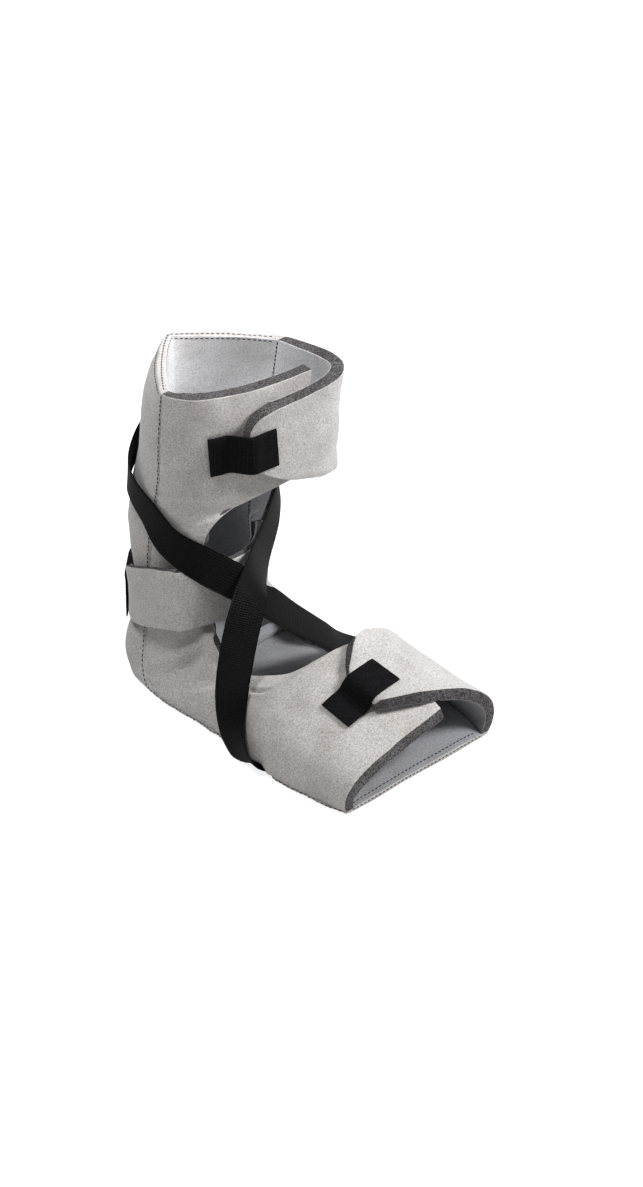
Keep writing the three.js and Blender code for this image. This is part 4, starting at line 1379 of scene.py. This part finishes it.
@dataclass(frozen=True)
class Thread:
    """Dark spun polyester sewing thread, dull with a little twist."""

    name: str

    def build(self) -> bpy.types.Material:
        """Make the material."""
        shader = Shader(self.name)
        colour = shader.ramp(shader.noise(0.8), [(0.3, "#1c1918"), (0.7, "#403b39")])
        return shader.finish(colour, [], {"Roughness": 0.8, "IOR": 1.5, "Specular IOR Level": 0.2})


@dataclass(frozen=True)
class Lamp:
    """A lamp aimed at a point: a disk of that size, or a spot where it has an angle."""

    name: str
    where: tuple[float, float, float]
    aim: tuple[float, float, float]
    size: float
    power: float
    spot_degrees: float = 0.0

    def hang(self) -> None:
        """Make the lamp."""
        data = bpy.data.lights.new(self.name, "SPOT" if self.spot_degrees else "AREA")
        data.energy = self.power
        if self.spot_degrees:
            data.spot_size, data.spot_blend = self.spot_degrees * DEGREES, 0.6
            data.shadow_soft_size = self.size
        else:
            data.shape, data.size = "DISK", self.size
        item = bpy.data.objects.new(self.name, data)
        bpy.context.collection.objects.link(item)
        item.location = self.where
        item.rotation_euler = (Vector(self.aim) - Vector(self.where)).to_track_quat("-Z", "Y").to_euler()


@dataclass(frozen=True)
class Studio:
    """The camera at the photograph's angle, a white floor and soft light."""

    aim: tuple[float, float, float] = (-0.019, -0.0583, 0.123)
    toward_camera: tuple[float, float, float] = (-0.5585, -0.5824, 0.5906)
    distance: float = 3.5
    lens_mm: float = 151.6
    sensor_mm: float = 36.0
    floor_half: float = 4.0
    floor_up: float = -0.0009
    lamps: tuple[Lamp, ...] = (
        Lamp("key", (1.2, -1.1, 1.5), (0, 0, 0.1), 0.7, 48.0),
        Lamp("top", (-0.6, 0.1, 1.8), (0, 0, 0.1), 0.5, 13.0),
        Lamp("into_the_calf", (-0.25, -0.25, 0.95), (0.02, 0.1, 0.215), 0.03, 18.0, 9.0))

    def camera(self) -> None:
        """A long lens whose picture takes in 831 mm at the splint."""
        data = bpy.data.cameras.new("camera")
        data.sensor_fit, data.sensor_height, data.lens = "VERTICAL", self.sensor_mm, self.lens_mm
        data.clip_end = 30.0
        bpy.context.scene.view_settings.view_transform = "Standard"
        item = bpy.data.objects.new("camera", data)
        bpy.context.collection.objects.link(item)
        way = Vector(self.toward_camera).normalized()
        item.location = Vector(self.aim) + way * self.distance
        item.rotation_euler = (-way).to_track_quat("-Z", "Y").to_euler()
        bpy.context.scene.camera = item

    def floor(self) -> None:
        """A wide floor that the picture shows as plain white, and that lights the splint less."""
        mesh = bpy.data.meshes.new("floor")
        corners = ((-1, -1), (1, -1), (1, 1), (-1, 1))
        mesh.from_pydata([(x * self.floor_half, y * self.floor_half, self.floor_up) for x, y in corners],
                         [], [(0, 1, 2, 3)])
        shader = Shader("white_floor")
        seen = shader.add("ShaderNodeLightPath").outputs["Is Camera Ray"]
        glow = shader.add("ShaderNodeMath", {"operation": "MULTIPLY_ADD"}, {0: seen, 1: 0.75, 2: 0.08})
        shader.tree.links.new(glow.outputs[0], shader.surface.inputs["Emission Strength"])
        shader.finish(shader.ramp(shader.noise(400.0), [(0.0, "#c4c4c4"), (1.0, "#cacaca")]), [], {
            "Roughness": 1.0, "Specular IOR Level": 0.0, "Emission Color": linear("#ffffff")})
        mesh.materials.append(shader.material)
        item = bpy.data.objects.new("floor", mesh)
        bpy.context.collection.objects.link(item)

    def light(self) -> None:
        """White behind the splint, a dim white room round it, and the lamps."""
        world = bpy.data.worlds.new("white_room")
        world.use_nodes = True
        tree = world.node_tree
        room = tree.nodes["Background"]
        seen = tree.nodes.new("ShaderNodeBackground")
        for node, strength in ((room, 0.25), (seen, 1.05)):
            node.inputs["Color"].default_value = linear("#ffffff")
            node.inputs["Strength"].default_value = strength
        choose = tree.nodes.new("ShaderNodeMixShader")
        tree.links.new(tree.nodes.new("ShaderNodeLightPath").outputs["Is Camera Ray"], choose.inputs[0])
        tree.links.new(room.outputs[0], choose.inputs[1])
        tree.links.new(seen.outputs[0], choose.inputs[2])
        tree.links.new(choose.outputs[0], tree.nodes["World Output"].inputs["Surface"])
        bpy.context.scene.world = world
        for lamp in self.lamps:
            lamp.hang()


@dataclass(frozen=True)
class Splint:
    """All the pieces of the splint and their finishes."""

    spine: SpinePanel = SpinePanel()
    under: Wing = Wing("under_wing_cloth", "under_wing", UNDER, Side.LEFT)
    over: Wing = Wing("over_wing_cloth", "over_wing", OVER, Side.RIGHT)
    band: AnkleBand = AnkleBand()
    strap: CrossStrap = CrossStrap()
    calf_tape: FlapTape = FlapTape("calf_tab_hooks", "calf_tab", 30.0, 0.22,
                                   (0.4, 0.46, 0.52), (0.96, 0.9, 0.85))
    foot_tape: FlapTape = FlapTape("foot_tab_hooks", "foot_tab", 25.4, 2.77,
                                   (0.59, 0.65, 0.7), (0.96, 0.89, 0.81))
    ankle_tape: AnkleTape = AnkleTape("ankle_tab_hooks", "ankle_tab", 28.0)
    cloth: BrushedLoopCloth = BrushedLoopCloth("brushed_loop_cloth", "#dcdad8", "#c6c4c3", "#a19e9d")
    # The lining is the same cloth as the outer face, painted lighter as painted light, and darker low down as
    # painted shade.
    lining: BrushedLoopCloth = BrushedLoopCloth("brushed_lining_painted_light_and_shade", "#f2f3f6", "#e0e2e6", "#c2c4c9",
                                                painted_shade="#a9aaae")
    foam: CutFoam = CutFoam("cut_foam", "#353233", "#737072")
    webbing: WovenWebbing = WovenWebbing("woven_webbing")
    hooks: HookTape = HookTape("hook_tape")
    thread: Thread = Thread("sewing_thread")

    def build(self) -> None:
        """Make every piece, in the order in which they press on each other."""
        laminate = [self.cloth.build(), self.lining.build(), self.foam.build()]
        webbing, hooks, thread = self.webbing.build(), self.hooks.build(), self.thread.build()

        spine, under, over = self.spine.cut(), self.under.cut(), self.over.cut()
        web, band = self.strap.strip(), self.band.strip()
        calf, foot = self.calf_tape.strip(under, over), self.foot_tape.strip(under, over)
        ankle = self.ankle_tape.strip()

        for fold in LEFT_FOLDS:
            under.crease(*fold)
        for number, piece in enumerate((spine, under, over)):
            piece.relieve(large=0.35, small=0.12, seed=10 * number + 5)
            piece.pucker(height=0.3, pitch=8.5, reach=5.0, seed=number)
        under.pressed_by(web, band, calf, foot)
        over.rest_on(under, least=4.5)
        over.pressed_by(web, band, calf, foot)
        spine.pressed_by(web, band, ankle)

        self.spine.dress(spine, laminate)
        self.under.dress(under, laminate)
        self.over.dress(over, laminate)
        self.band.dress(band, laminate, web, ankle)
        self.strap.dress(web, webbing)
        self.calf_tape.dress(calf, hooks)
        self.foot_tape.dress(foot, hooks)
        self.ankle_tape.dress(ankle, hooks)
        self.spine.sew(spine, thread)


def main() -> None:
    """Build the splint in its studio."""
    logging.basicConfig(level=logging.INFO, format="%(name)s %(message)s")
    studio = Studio()
    studio.camera()
    studio.floor()
    studio.light()
    Splint().build()


if __name__ == "__main__":
    main()
